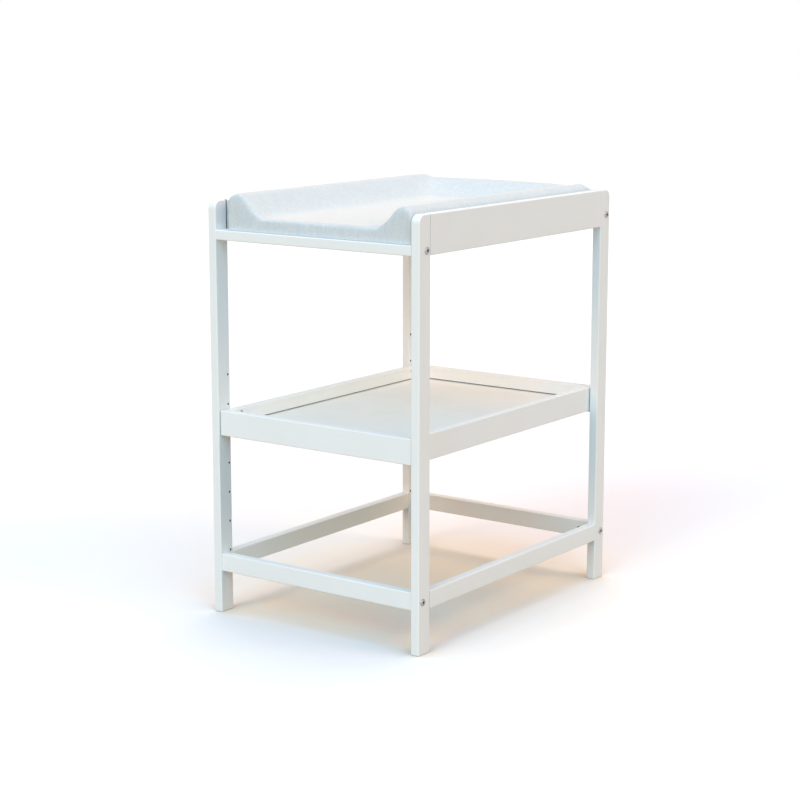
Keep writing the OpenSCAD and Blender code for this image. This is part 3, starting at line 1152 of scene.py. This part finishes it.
@dataclass
class SideFrame:
    """One side of the table: two legs, the raised side panel, the bottom rail and its bolts."""

    side: Side
    # Shadow gap on the inner side, where a leg meets the raised panel
    gap_width: float = 0.0045
    gap_depth: float = 0.006
    # How far the gap bites into the panel's end
    gap_bite: float = 0.0001

    def build(self) -> None:
        """Makes every piece of the side."""
        for end in End:
            self.leg(end)
        gaps = [self.shadow_gap(end) for end in End]
        for node, grooves in (("side_panel", gaps), ("bottom_rail", [])):
            Board(
                f"{self.side.word}_{node}",
                butted=(Face.FRONT, Face.BACK),
                eased=self.side.inward,
                fixings=[*SIDE_DOWELS, CROSS_DOWELS],
                grooves=grooves,
            ).build()
        FrameBolts(self.side).build()

    def shadow_gap(self, end: End) -> Block:
        """The rebate along a leg's inner edge that leaves a dark gap beside the raised panel.

        Args:
            end: The leg's end of the table.

        Returns:
            The box to cut away.
        """
        panel = Block.of_node(f"{self.side.word}_side_panel")
        inner = panel.high.x if self.side is Side.LEFT else panel.low.x
        joint = panel.low.y if end is End.FRONT else panel.high.y
        ends = (joint + end.value * self.gap_width, joint - end.value * self.gap_bite)
        low = Vector((inner - self.gap_depth, min(ends), panel.low.z))
        high = Vector((inner + self.gap_depth, max(ends), panel.high.z + self.gap_depth))
        return Block(low, high)

    def leg(self, end: End) -> None:
        """Makes the leg at the front or the back.

        Args:
            end: The end of the table that it stands at.
        """
        Board(
            f"{self.side.word}_{end.word}_leg",
            fixings=[*BOLTS, *SIDE_DOWELS, CROSS_DOWELS, PINS_IN_LEG],
            holes=spare_pin_holes(self.side),
            grooves=[self.shadow_gap(end)],
            corner=(Face[end.name], Face.ABOVE),
        ).build()


@dataclass
class CrossMembers:
    """What joins the two sides: the deck, the raised back panel and the two cross rails."""

    fixings: list[Fixing] = field(default_factory=lambda: [*BOLTS, *NUTS, CROSS_DOWELS])

    def build(self) -> None:
        """Makes the four boards."""
        ends = (Face.LEFT, Face.RIGHT)
        Board("deck_board", butted=(*ends, Face.BACK), fixings=self.fixings).build()
        Board("back_panel", butted=ends, fixings=self.fixings).build()
        for end in End:
            Board(f"{end.word}_bottom_rail", butted=ends, fixings=self.fixings).build()


@dataclass
class FrameBolts:
    """The bolts of one side: domed heads with a hex socket, and a threaded shank."""

    side: Side
    # The head: its straight rim, the radius of the flat in its middle, the rounding under it and the
    # facets of its dome
    rim: float = 0.0007
    land: float = 0.0042
    under_edge: float = 0.0002
    dome_facets: int = 10
    socket_flats: float = 0.006
    socket_depth: float = 0.0034
    socket_mouth: float = 0.0003
    # How far above the head the cut for the socket starts
    socket_lead: float = 0.0001
    shank: float = BOLT_SHANK
    # The tip's chamfer: across and along
    chamfer: tuple[float, float] = (0.0005, 0.0006)
    thread_length: float = 0.034
    thread_pitch: float = 0.001
    thread_depth: float = 0.0004
    facets: int = 48

    def build(self) -> None:
        """Makes the side's four bolts as one piece."""
        node = f"{self.side.word}_frame_bolts"
        bolts = bmesh.new()
        sockets = bmesh.new()
        for block in solids_of(node):
            self._add_bolt(bolts, sockets, block)
        piece = new_piece(bolts, f"{self.side.word}_zinc_bolts")
        carve(piece, sockets)
        smooth_shading(piece, sharp_above=32.0)
        complete(piece, ZINC, "frame", node)

    def _outline(self, radius: float, length: float, height: float) -> list[tuple[float, float]]:
        """The bolt's half section.

        Args:
            radius: The head's radius.
            length: The shank's length under the head.
            height: The head's height.

        Returns:
            Points from the tip up to the middle of the head: radius and height over the head's seat.
        """
        root = self.shank - self.thread_depth
        foot = self.chamfer[1] - length
        points = [(0.0, -length), (root - self.chamfer[0], -length), (root, foot)]
        for turn in range(round(self.thread_length / self.thread_pitch)):
            start = foot + turn * self.thread_pitch
            points += [(self.shank, start + self.thread_pitch / 2), (root, start + self.thread_pitch)]
        points += [(self.shank, points[-1][1] + self.thread_depth), (self.shank, 0.0)]
        points += [(radius - self.under_edge, 0.0), (radius, self.under_edge), (radius, self.rim)]
        for i in range(1, self.dome_facets + 1):
            share = 1.0 - i / self.dome_facets
            across = self.land + (radius - self.land) * share
            points.append((across, self.rim + (height - self.rim) * math.sqrt(1.0 - share**2)))
        points.append((0.0, height))
        return points

    def _add_bolt(self, bolts: BMesh, sockets: BMesh, block: Block) -> None:
        """Adds one bolt, and the tool that cuts its socket.

        Args:
            bolts: The mesh of the bolts.
            sockets: The mesh of the socket tools.
            block: The CAD bolt's box.
        """
        out = Axis.X.unit * self.side.value
        leg = Block.of_node(f"{self.side.word}_front_leg")
        outer_corners = (leg.high, block.high) if self.side is Side.RIGHT else (leg.low, block.low)
        seat_x, top_x = (corner.x for corner in outer_corners)
        seat_at = Vector((seat_x, block.centre.y, block.centre.z))
        height = abs(top_x - seat_x)
        part = bmesh.new()
        outline = self._outline(block.size.y / 2, block.size.x - height, height)
        verts = [part.verts.new((across, 0.0, up)) for across, up in outline]
        edges = [part.edges.new(pair) for pair in zip(verts, verts[1:])]
        bmesh.ops.spin(
            part,
            geom=verts + edges,
            cent=(0, 0, 0),
            axis=(0, 0, 1),
            angle=math.tau,
            steps=self.facets,
            use_merge=True,
        )
        bmesh.ops.remove_doubles(part, verts=part.verts, dist=WELD)
        bmesh.ops.transform(part, matrix=placing(seat_at, out), verts=part.verts)
        mesh = bpy.data.meshes.new("bolt")
        part.to_mesh(mesh)
        part.free()
        bolts.from_mesh(mesh)
        bpy.data.meshes.remove(mesh)
        start = seat_at + out * (height + self.socket_lead)
        corner = self.socket_flats / 2 / math.cos(math.pi / 6)
        end = start - out * self.socket_depth
        Bore(start, end, corner, mouth=self.socket_mouth, sides=6).add_to(sockets)


@dataclass
class Tray:
    """The lift-out tray: two end boards, two side boards, and a bottom panel in a groove all round."""

    body: str = "tray"
    # Room round the bottom panel's edge and above it
    groove_edge: float = 0.0005
    groove_top: float = 0.0021
    panel_edge: float = 0.0004
    panel_facets: int = 2

    def build(self) -> None:
        """Makes the four boards and the bottom panel."""
        edge = Vector((self.groove_edge, self.groove_edge, 0.0))
        groove = Block.of_node("tray_bottom_panel").grown(edge, edge + Axis.Z.unit * self.groove_top)
        fixings = [TRAY_DOWELS, CAMS, CAM_BOLTS]
        for end in End:
            self.board(end, sanded=(Face.LEFT, Face.RIGHT), fixings=fixings, grooves=[groove])
        for side in Side:
            self.board(
                side,
                butted=(Face.FRONT, Face.BACK),
                sanded=(side.outward,),
                fixings=[*fixings, PINS_UNDER_TRAY],
                grooves=[groove],
            )
        self.panel()

    def board(self, where: Named, **details: object) -> None:
        """Makes one of the boards, from its place and what sets it apart."""
        Board(f"tray_{where.word}_board", self.body, **details).build()

    def panel(self) -> None:
        """Makes the bottom panel, with its edges just broken."""
        node = "tray_bottom_panel"
        bm = bmesh.new()
        Block.of_node(node).add_to(bm)
        round_edges(bm, bm.edges[:], self.panel_edge, self.panel_facets)
        piece = new_piece(bm, "faced_" + node)
        smooth_shading(piece)
        complete(piece, FACING, self.body, node)


# ---- Mat ----


def held(share: float) -> float:
    """A share kept between 0 and 1."""
    return min(max(share, 0.0), 1.0)


@dataclass
class Mat:
    """The changing mat: a terry cover drawn over a foam core of a base and three raised wedges."""

    body: str = "mat"
    foam_nodes: tuple[str, ...] = ("mat_foam_base", "mat_left_wedge", "mat_right_wedge", "mat_back_wedge")
    # The box that the finished cover fills, apart from its slack
    outline: Block = field(default_factory=lambda: Block.of_node("mat_cover"))
    # Size of the faces in the meshes of the cover and the foam
    voxel: float = 0.006
    foam_voxel: float = 0.008
    # How far the foam stays inside the cover, and how thick the cover's cloth is
    foam_shrink: float = 0.0045
    cover_thickness: float = 0.0018
    # Rounds of smoothing for the foam and the cover, and for what faces up above a height on the cover
    foam_rounds: int = 2
    cover_rounds: int = 1
    soft_rounds: int = 3
    soft_above: float = 0.04
    # The least upward lean of a normal that counts as facing up
    facing_up: float = 0.1
    # Round by which the raised sides fall at the back, seen from the side, and how wide they are there
    back_round: float = 0.023
    raised_width: float = 0.055
    # Reach of the upright corners that the remesh rounds off, and that are squared again
    corner_reach: float = 0.016
    # Rounds in which the cover is drawn tight across the hollows, and the most that it lifts there
    bridge_rounds: int = 14
    bridge_lift: float = 0.004
    # Rounds in which sharp low edges are drawn out again, the least bend that counts as one, how much
    # of the bend is added, the height up to which that goes, and over which it fades
    crisp_rounds: int = 2
    crisp_bend: float = 0.0008
    crisp_gain: float = 0.6
    crisp_height: float = 0.032
    crisp_fade: float = 0.01
    # Soft unevenness of the padding: height, and dips in a metre. It fades out this far above the hem
    dents: tuple[tuple[float, float], ...] = ((0.0009, 24.0), (0.0004, 70.0))
    dent_fade: float = 0.006
    # Creases where the cover is gathered at the lower front corners: reach, height, pitch and slant
    crease_reach: float = 0.05
    crease_height: float = 0.0009
    crease_pitch: float = 0.009
    crease_slant: tuple[float, float] = (0.6, 1.5)
    # How far the creases wander to and fro, how often, and the height over which they set in
    crease_wander: float = 2.0
    crease_bends: float = 90.0
    crease_fade: float = 0.004
    # How far the cover's slack stands off the foam on the left, and at its front end, and within which
    # distance of the mat's sides it sets in
    slack: float = 0.012
    slack_front: float = 0.0038
    slack_start: float = 0.045
    # How much further the slack hangs out below the raised side's top, and how far below
    belly: float = 0.002
    belly_drop: float = 0.024
    # Where the cover is squeezed down beside the right panel: how far in the shoulder starts to sink,
    # where it has sunk fully and by how much, and the depth and height over which the outer side takes
    # that up
    shoulder_start: float = 0.042
    shoulder_full: float = 0.014
    shoulder_sink: float = 0.006
    shoulder_depth: float = 0.04
    shoulder_fade: float = 0.02
    # The cover is made longer than it is at first, and cut off level with the deck
    skirt: float = 0.02
    # Points this close to the plane of the cut are moved onto it
    hem_snap: float = 0.0001
    # Width of the hem that turns in underneath, its rings, and how crisp its edge is kept
    hem: float = 0.07
    hem_rings: int = 8
    hem_crease: float = 0.7
    # How far the cover lies off the foam before it is pressed out, and how far that may move it
    ease: float = 0.0015
    puff: float = 0.0025
    # The pressure inside the cover, and the frames for which it presses
    pressure: float = 4.0
    frames: int = 20

    def build(self) -> None:
        """Makes the foam pieces and the cover."""
        for node in self.foam_nodes:
            self.foam(node)
        self.cover()

    def foam(self, node: str) -> None:
        """Makes one foam piece from its CAD solid, with softened edges.

        Args:
            node: The CAD node.
        """
        piece = self._moulded([node], "soft_" + node, self.foam_voxel)
        self._relax(piece, self.foam_rounds)
        self._push(piece, 1, lambda vert, dip: -self.foam_shrink)
        smooth_shading(piece, sharp_above=180.0)
        complete(piece, FOAM, self.body, node)

    def cover(self) -> None:
        """Makes the cover: a skin over the foam, pressed out, hemmed underneath and given its thickness."""
        piece = self._moulded(self.foam_nodes, "terry_cover", self.voxel, self.skirt)
        self._relax(piece, self.cover_rounds)
        self._relax(piece, self.soft_rounds, self.soft_above)
        self._bridge(piece)
        self._push(piece, 1, lambda vert, dip: self.ease)
        self._inflate(piece)
        self._push(piece, self.crisp_rounds, self._crispness)
        self._square_corners(piece)
        self._hem(piece)
        self._slacken(piece)
        fine = piece.modifiers.new("fine", "SUBSURF")
        fine.levels = fine.render_levels = 1
        settle(piece)
        self._dent(piece)
        wall = piece.modifiers.new("cloth_thickness", "SOLIDIFY")
        wall.thickness = self.cover_thickness
        wall.offset = -1.0
        piece.data.shade_smooth()
        complete(piece, TERRY, self.body, "mat_cover")

    def _moulded(self, nodes: Iterable[str], name: str, voxel: float, skirt: float = 0.0) -> Object:
        """Joins CAD solids, covers them with one even mesh, and gives that the mat's main shape.

        Args:
            nodes: The CAD nodes.
            name: The new object's name.
            voxel: The size of the new faces.
            skirt: How far the underside is drawn down first.

        Returns:
            The new object.
        """
        bm = bmesh.new()
        for node in nodes:
            bm.from_mesh(frame["nodes"][node].data)
        bmesh.ops.remove_doubles(bm, verts=bm.verts, dist=TOUCH)
        lowest = min(v.co.z for v in bm.verts)
        foot = [v for v in bm.verts if v.co.z < lowest + TOUCH]
        bmesh.ops.translate(bm, vec=(0, 0, -skirt), verts=foot)
        piece = new_piece(bm, name)
        remesh = piece.modifiers.new("even", "REMESH")
        remesh.mode = "VOXEL"
        remesh.voxel_size = voxel
        settle(piece)
        for vert in piece.data.vertices:
            self._round_back(vert.co)
            self._sink_shoulder(vert.co)
        return piece

    def _round_back(self, point: Vector) -> None:
        """Moves a point to round the raised sides' top edge at the back, seen from the side.

        Args:
            point: The point.
        """
        out = point.yz - self.outline.high.yz + Vector((self.back_round, self.back_round))
        inside = self.outline.size.x / 2 - abs(point.x - self.outline.centre.x)
        share = held(2 - 2 * inside / self.raised_width)
        if min(out) > 0:
            point.yz += out * (max(out) / out.length - 1) * share

    def _sink_shoulder(self, point: Vector) -> None:
        """Lowers a point on the right raised side's outer slope, towards the panel beside it.

        Args:
            point: The point.
        """
        inside = self.outline.high.x - point.x
        share = held((self.shoulder_start - inside) / (self.shoulder_start - self.shoulder_full))
        knee = self.outline.high.z - self.shoulder_depth
        point.z -= self.shoulder_sink * share * held((point.z - knee) / self.shoulder_fade)

    def _square_corners(self, piece: Object) -> None:
        """Draws the four upright corners out again, to where their two faces would meet.

        Args:
            piece: The cover.
        """
        points = [v.co for v in piece.data.vertices]
        box = Block.around(points)
        for point in points:
            to_x, sign_x = min((point.x - box.low.x, -1), (box.high.x - point.x, 1))
            to_y, sign_y = min((point.y - box.low.y, -1), (box.high.y - point.y, 1))
            out = Vector((self.corner_reach - to_x, self.corner_reach - to_y))
            if min(out) > 0:
                grown = out.length / max(out) - 1
                point.x += sign_x * out.x * grown
                point.y += sign_y * out.y * grown

    def _push(self, piece: Object, rounds: int, rule: Callable[[BMVert, float], float]) -> None:
        """Moves a mesh's vertices along their normals.

        Args:
            piece: The foam or the cover.
            rounds: How many times.
            rule: Says how far a vertex moves, from the vertex and how deep it lies among its neighbours.
        """
        with editing(piece) as bm:
            for _ in range(rounds):
                bm.normal_update()
                moves = []
                for vert in bm.verts:
                    around = [e.other_vert(vert).co for e in vert.link_edges]
                    dip = (sum(around, Vector()) / len(around) - vert.co).dot(vert.normal)
                    moves.append(vert.normal * rule(vert, dip))
                for vert, move in zip(bm.verts, moves):
                    vert.co += move

    def _bridge(self, piece: Object) -> None:
        """Draws the cover tight across its hollows: only what lies in a hollow moves, and only outwards.

        Args:
            piece: The cover.
        """
        start = [v.co.copy() for v in piece.data.vertices]

        def lift(vert: BMVert, dip: float) -> float:
            """How far a vertex in a hollow rises."""
            free = (vert.co - start[vert.index]).length < self.bridge_lift
            return max(dip, 0.0) * free

        self._push(piece, self.bridge_rounds, lift)

    def _crispness(self, vert: BMVert, dip: float) -> float:
        """How far a vertex on a sharp low edge is drawn out, which remesh and swelling have rounded off.

        Args:
            vert: The vertex.
            dip: How deep it lies among its neighbours.

        Returns:
            The distance.
        """
        above = vert.co.z - self.outline.low.z
        share = held((self.crisp_height + self.crisp_fade - above) / self.crisp_fade)
        return -dip * self.crisp_gain * share * (-dip > self.crisp_bend)

    def _dent(self, piece: Object) -> None:
        """Gives the cover the soft unevenness of padding, and creases at its lower front corners.

        Args:
            piece: The cover.
        """
        low, high = self.outline.low, self.outline.high
        normals = [v.normal.copy() for v in piece.data.vertices]
        for vert, normal in zip(piece.data.vertices, normals):
            above = vert.co.z - low.z
            if above < TOUCH:
                continue
            depth = sum(height * max(noise.noise(vert.co * waves), 0.0) for height, waves in self.dents)
            side = min(vert.co.x - low.x, high.x - vert.co.x)
            reach = Vector((side, vert.co.y - low.y, above)).length / self.crease_reach
            if reach < 1:
                along = Vector((side, above)).dot(self.crease_slant) / self.crease_pitch
                wander = self.crease_wander * math.sin(side * self.crease_bends)
                wave = 1 + math.sin(math.tau * along + wander)
                depth += self.crease_height * (1 - reach) ** 2 * wave * min(above / self.crease_fade, 1.0)
            vert.co -= normal * depth * min(above / self.dent_fade, 1.0)

    def _slacken(self, piece: Object) -> None:
        """Lets the left side of the cover stand off the foam, more towards the middle of its length.

        Args:
            piece: The cover.
        """
        low, high = self.outline.low, self.outline.high
        for vert in piece.data.vertices:
            inside = (vert.co.x - low.x) / self.slack_start
            along = (vert.co.y - low.y) / self.slack_start
            back = (high.y - vert.co.y) / (2 * self.slack_start)
            if inside < 1:
                share = held(min(along, back))
                ease = share * share * (3 - 2 * share)
                reach = self.slack + self.belly * held((high.z - vert.co.z) / self.belly_drop) ** 2
                least = self.slack_front if along < back else 0.0
                vert.co.x -= (least + (reach - least) * ease) * (1 - max(inside, 0.0)) ** 2

    def _relax(self, piece: Object, rounds: int, above: float | None = None) -> None:
        """Smooths a mesh a number of times.

        Args:
            piece: The foam or the cover.
            rounds: How many times.
            above: A height over the mat's underside. Only what lies above it and faces up is smoothed, or
                the whole mesh with None.
        """
        with editing(piece) as bm:
            verts = bm.verts[:]
            if above is not None:
                limit = self.outline.low.z + above
                verts = [v for v in verts if v.co.z > limit and v.normal.z > self.facing_up]
            for _ in range(rounds):
                bmesh.ops.smooth_vert(
                    bm, verts=verts, factor=0.5, use_axis_x=True, use_axis_y=True, use_axis_z=True
                )

    def _inflate(self, piece: Object) -> None:
        """Presses the cover out with a short cloth simulation, and caps how far it moves.

        Args:
            piece: The cover.
        """
        start = [(v.co.copy(), v.normal.copy()) for v in piece.data.vertices]
        cloth = piece.modifiers.new("pressed_out", "CLOTH")
        settings = cloth.settings
        settings.quality = 5
        settings.mass = 0.3
        settings.tension_stiffness = 15.0
        settings.compression_stiffness = 15.0
        settings.shear_stiffness = 8.0
        settings.bending_stiffness = 2.0
        settings.use_pressure = True
        settings.uniform_pressure_force = self.pressure
        settings.effector_weights.gravity = 0.0
        cloth.point_cache.frame_start = 1
        cloth.point_cache.frame_end = self.frames
        for number in range(1, self.frames + 1):
            bpy.context.scene.frame_set(number)
        settle(piece)
        bpy.context.scene.frame_set(1)
        for vert, (old, normal) in zip(piece.data.vertices, start):
            outward = (vert.co - old).dot(normal)
            vert.co = old + normal * min(max(outward, 0.0), self.puff)

    def _hem(self, piece: Object) -> None:
        """Cuts the skin level with the mat's underside, fits it to the CAD mat's box and turns in a hem.

        Args:
            piece: The cover.
        """
        goal = self.outline
        with editing(piece) as bm:
            geometry = bm.verts[:] + bm.edges[:] + bm.faces[:]
            bmesh.ops.bisect_plane(
                bm,
                geom=geometry,
                plane_co=goal.low,
                plane_no=(0, 0, -1),
                dist=self.hem_snap,
                clear_outer=True,
            )
            now = Block.around(v.co for v in bm.verts)
            stretch = Vector(goal.size[i] / now.size[i] for i in range(3))
            bmesh.ops.translate(bm, vec=-now.low, verts=bm.verts)
            bmesh.ops.scale(bm, vec=stretch, verts=bm.verts)
            bmesh.ops.translate(bm, vec=goal.low, verts=bm.verts)
            crease = bm.edges.layers.float.new("crease_edge")
            rim = [e for e in bm.edges if e.is_boundary]
            for edge in rim:
                edge[crease] = self.hem_crease
            step = self.hem / self.hem_rings
            for ring in range(self.hem_rings):
                made = bmesh.ops.extrude_edge_only(bm, edges=rim)["geom"]
                verts = [g for g in made if isinstance(g, BMVert)]
                rim = [g for g in made if isinstance(g, BMEdge) and g.is_boundary]
                left = goal.size / 2 - Vector((ring * step,) * 3)
                shrink = Vector((1 - step / left.x, 1 - step / left.y, 1.0))
                bmesh.ops.scale(bm, vec=shrink, space=Matrix.Translation(-goal.centre), verts=verts)
            bmesh.ops.recalc_face_normals(bm, faces=bm.faces)


# ---- Fasteners that keep their CAD shape ----


@dataclass
class Fittings:
    """The dowels, nuts, pins and cams, which keep their CAD shape and take a finish."""

    zinc_nodes: tuple[str, ...] = (
        "left_barrel_nuts",
        "right_barrel_nuts",
        "shelf_pins",
        "tray_cams",
        "tray_cam_bolts",
    )
    beech_nodes: tuple[tuple[str, Axis], ...] = (
        ("left_side_dowels", Axis.Y),
        ("right_side_dowels", Axis.Y),
        ("cross_dowels", Axis.X),
        ("tray_dowels", Axis.Y),
    )

    def build(self) -> None:
        """Dresses every fitting."""
        looks = {node: ZINC.material() for node in self.zinc_nodes}
        looks |= {node: BEECH.material(axis) for node, axis in self.beech_nodes}
        for node, material in looks.items():
            dress(frame["nodes"][node], material)
            report(frame["nodes"][node])


# ---- Studio ----


def direction(azimuth: float, elevation: float) -> Vector:
    """The way from the table towards a place round it.

    Args:
        azimuth: Degrees from the front, turning towards the right.
        elevation: Degrees above the floor.

    Returns:
        A unit vector.
    """
    a = math.radians(azimuth)
    e = math.radians(elevation)
    return Vector((math.sin(a) * math.cos(e), -math.cos(a) * math.cos(e), math.sin(e)))


@dataclass(frozen=True)
class Lamp:
    """A large, far lamp: where it stands, how wide it looks and the light it gives in each colour."""

    name: str
    azimuth: float
    elevation: float
    width: float
    light: Color

    def build(self) -> None:
        """Adds the lamp. A light of 1 turns a white surface that faces it to a full 1."""
        data = bpy.data.lights.new(self.name, "SUN")
        peak = max(self.light)
        data.angle = math.radians(self.width)
        data.energy = math.pi * peak
        data.color = tuple(c / peak for c in self.light)
        lamp = linked(self.name, data)
        lamp.rotation_mode = "QUATERNION"
        lamp.rotation_quaternion = direction(self.azimuth, self.elevation).to_track_quat("Z", "Y")


@dataclass
class Studio:
    """The plain set: a pale floor, soft light all round, a few lamps and the camera."""

    azimuth: float = 35.957
    elevation: float = 10.93
    distance: float = 4.5687
    aim: Point = (-0.02775, -0.02013, 0.46048)
    lens: float = 89.28
    sensor: float = 36.0
    floor_size: float = 60.0
    # How far the floor lies below the feet, so that the two don't share a plane
    floor_drop: float = 0.0002
    surround: Color = (0.42, 0.45, 0.48)
    lamps: tuple[Lamp, ...] = (
        Lamp("warm_front_lamp", azimuth=-6.0, elevation=22.0, width=33.0, light=(0.42, 0.17, 0.02)),
        Lamp("cool_front_lamp", azimuth=3.0, elevation=33.0, width=35.0, light=(0.01, 0.27, 0.35)),
        Lamp("right_front_lamp", azimuth=59.0, elevation=25.0, width=33.0, light=(0.15, 0.19, 0.19)),
        Lamp("warm_right_lamp", azimuth=103.0, elevation=31.0, width=33.0, light=(0.3, 0.16, 0.03)),
        Lamp("warm_back_lamp", azimuth=191.0, elevation=69.0, width=33.0, light=(0.24, 0.13, 0.01)),
        Lamp("cool_top_lamp", azimuth=42.0, elevation=68.0, width=93.0, light=(0.01, 0.12, 0.35)),
    )
    floor_seen: Color = (1.07, 1.04, 1.03)
    floor_bounce: Color = (0.3, 0.27, 0.21)
    # Painted shadow on the floor under the table: its tint, how far off the table shades it, and the
    # openness to the sky between which the painted shadow fades out
    pool: Color = (0.85, 0.78, 0.68)
    pool_reach: float = 0.6
    pool_fade: tuple[float, float] = (0.56, 0.86)

    def build(self) -> None:
        """Sets up the camera, the lamps, the surround and the floor."""
        self.camera()
        for lamp in self.lamps:
            lamp.build()
        self.world()
        self.floor()
        bpy.context.scene.view_settings.view_transform = "Standard"

    def camera(self) -> None:
        """Adds the camera and makes it the scene's."""
        data = bpy.data.cameras.new("camera")
        data.lens = self.lens
        data.sensor_width = self.sensor
        back = direction(self.azimuth, self.elevation)
        camera = linked("camera", data)
        camera.rotation_mode = "QUATERNION"
        camera.location = Vector(self.aim) + back * self.distance
        camera.rotation_quaternion = (-back).to_track_quat("-Z", "Y")
        bpy.context.scene.camera = camera

    def _seen(self, wiring: Wiring) -> NodeSocket:
        """1 for what the camera sees, straight or in a mirror, and 0 for the light that bounces.

        Args:
            wiring: The tree that it is for.

        Returns:
            The mask.
        """
        path = wiring.add("LightPath").outputs
        mirrored = wiring.math("MAXIMUM", path["Is Glossy Ray"], path["Is Transmission Ray"])
        return wiring.math("MAXIMUM", path["Is Camera Ray"], mirrored)

    def world(self) -> None:
        """Sets up the white surround, which lights the table more softly than it looks."""
        world = bpy.data.worlds.new("surround")
        world.use_nodes = True
        bpy.context.scene.world = world
        wiring = Wiring(world.node_tree)
        background = world.node_tree.nodes["Background"]
        color = wiring.blend(self._seen(wiring), self.surround, (1.0, 1.0, 1.0))
        wiring.put(color, background.inputs["Color"])
        background.inputs["Strength"].default_value = 1.0

    def floor(self) -> None:
        """Adds the floor, which looks white where nothing shades it."""
        bm = bmesh.new()
        bmesh.ops.create_grid(bm, x_segments=1, y_segments=1, size=self.floor_size / 2)
        bmesh.ops.translate(bm, vec=(0, 0, -self.floor_drop), verts=bm.verts)
        floor = new_piece(bm, "studio_floor")
        material = bpy.data.materials.new("studio_floor")
        material.use_nodes = True
        wiring = Wiring(material.node_tree)
        wiring.tree.nodes.remove(wiring.tree.nodes["Principled BSDF"])
        # The floor takes a painted shadow tint where the table closes it in
        openness = wiring.add("AmbientOcclusion", {"Distance": self.pool_reach}, samples=16).outputs["AO"]
        openness = wiring.between(openness, *self.pool_fade)
        shaded = tuple(a * b for a, b in zip(self.floor_seen, self.pool))
        seen = wiring.blend(openness, shaded, self.floor_seen)
        color = wiring.blend(self._seen(wiring), self.floor_bounce, seen)
        diffuse = wiring.add("BsdfDiffuse", {"Color": color}).outputs[0]
        wiring.put(diffuse, wiring.tree.nodes["Material Output"].inputs["Surface"])
        dress(floor, material)


def main() -> None:
    """Builds the table and its set."""
    logging.basicConfig(level=logging.INFO, format="%(message)s")
    for side in Side:
        SideFrame(side).build()
    CrossMembers().build()
    Tray().build()
    Fittings().build()
    Mat().build()
    Studio().build()


if __name__ == "__main__":
    main()
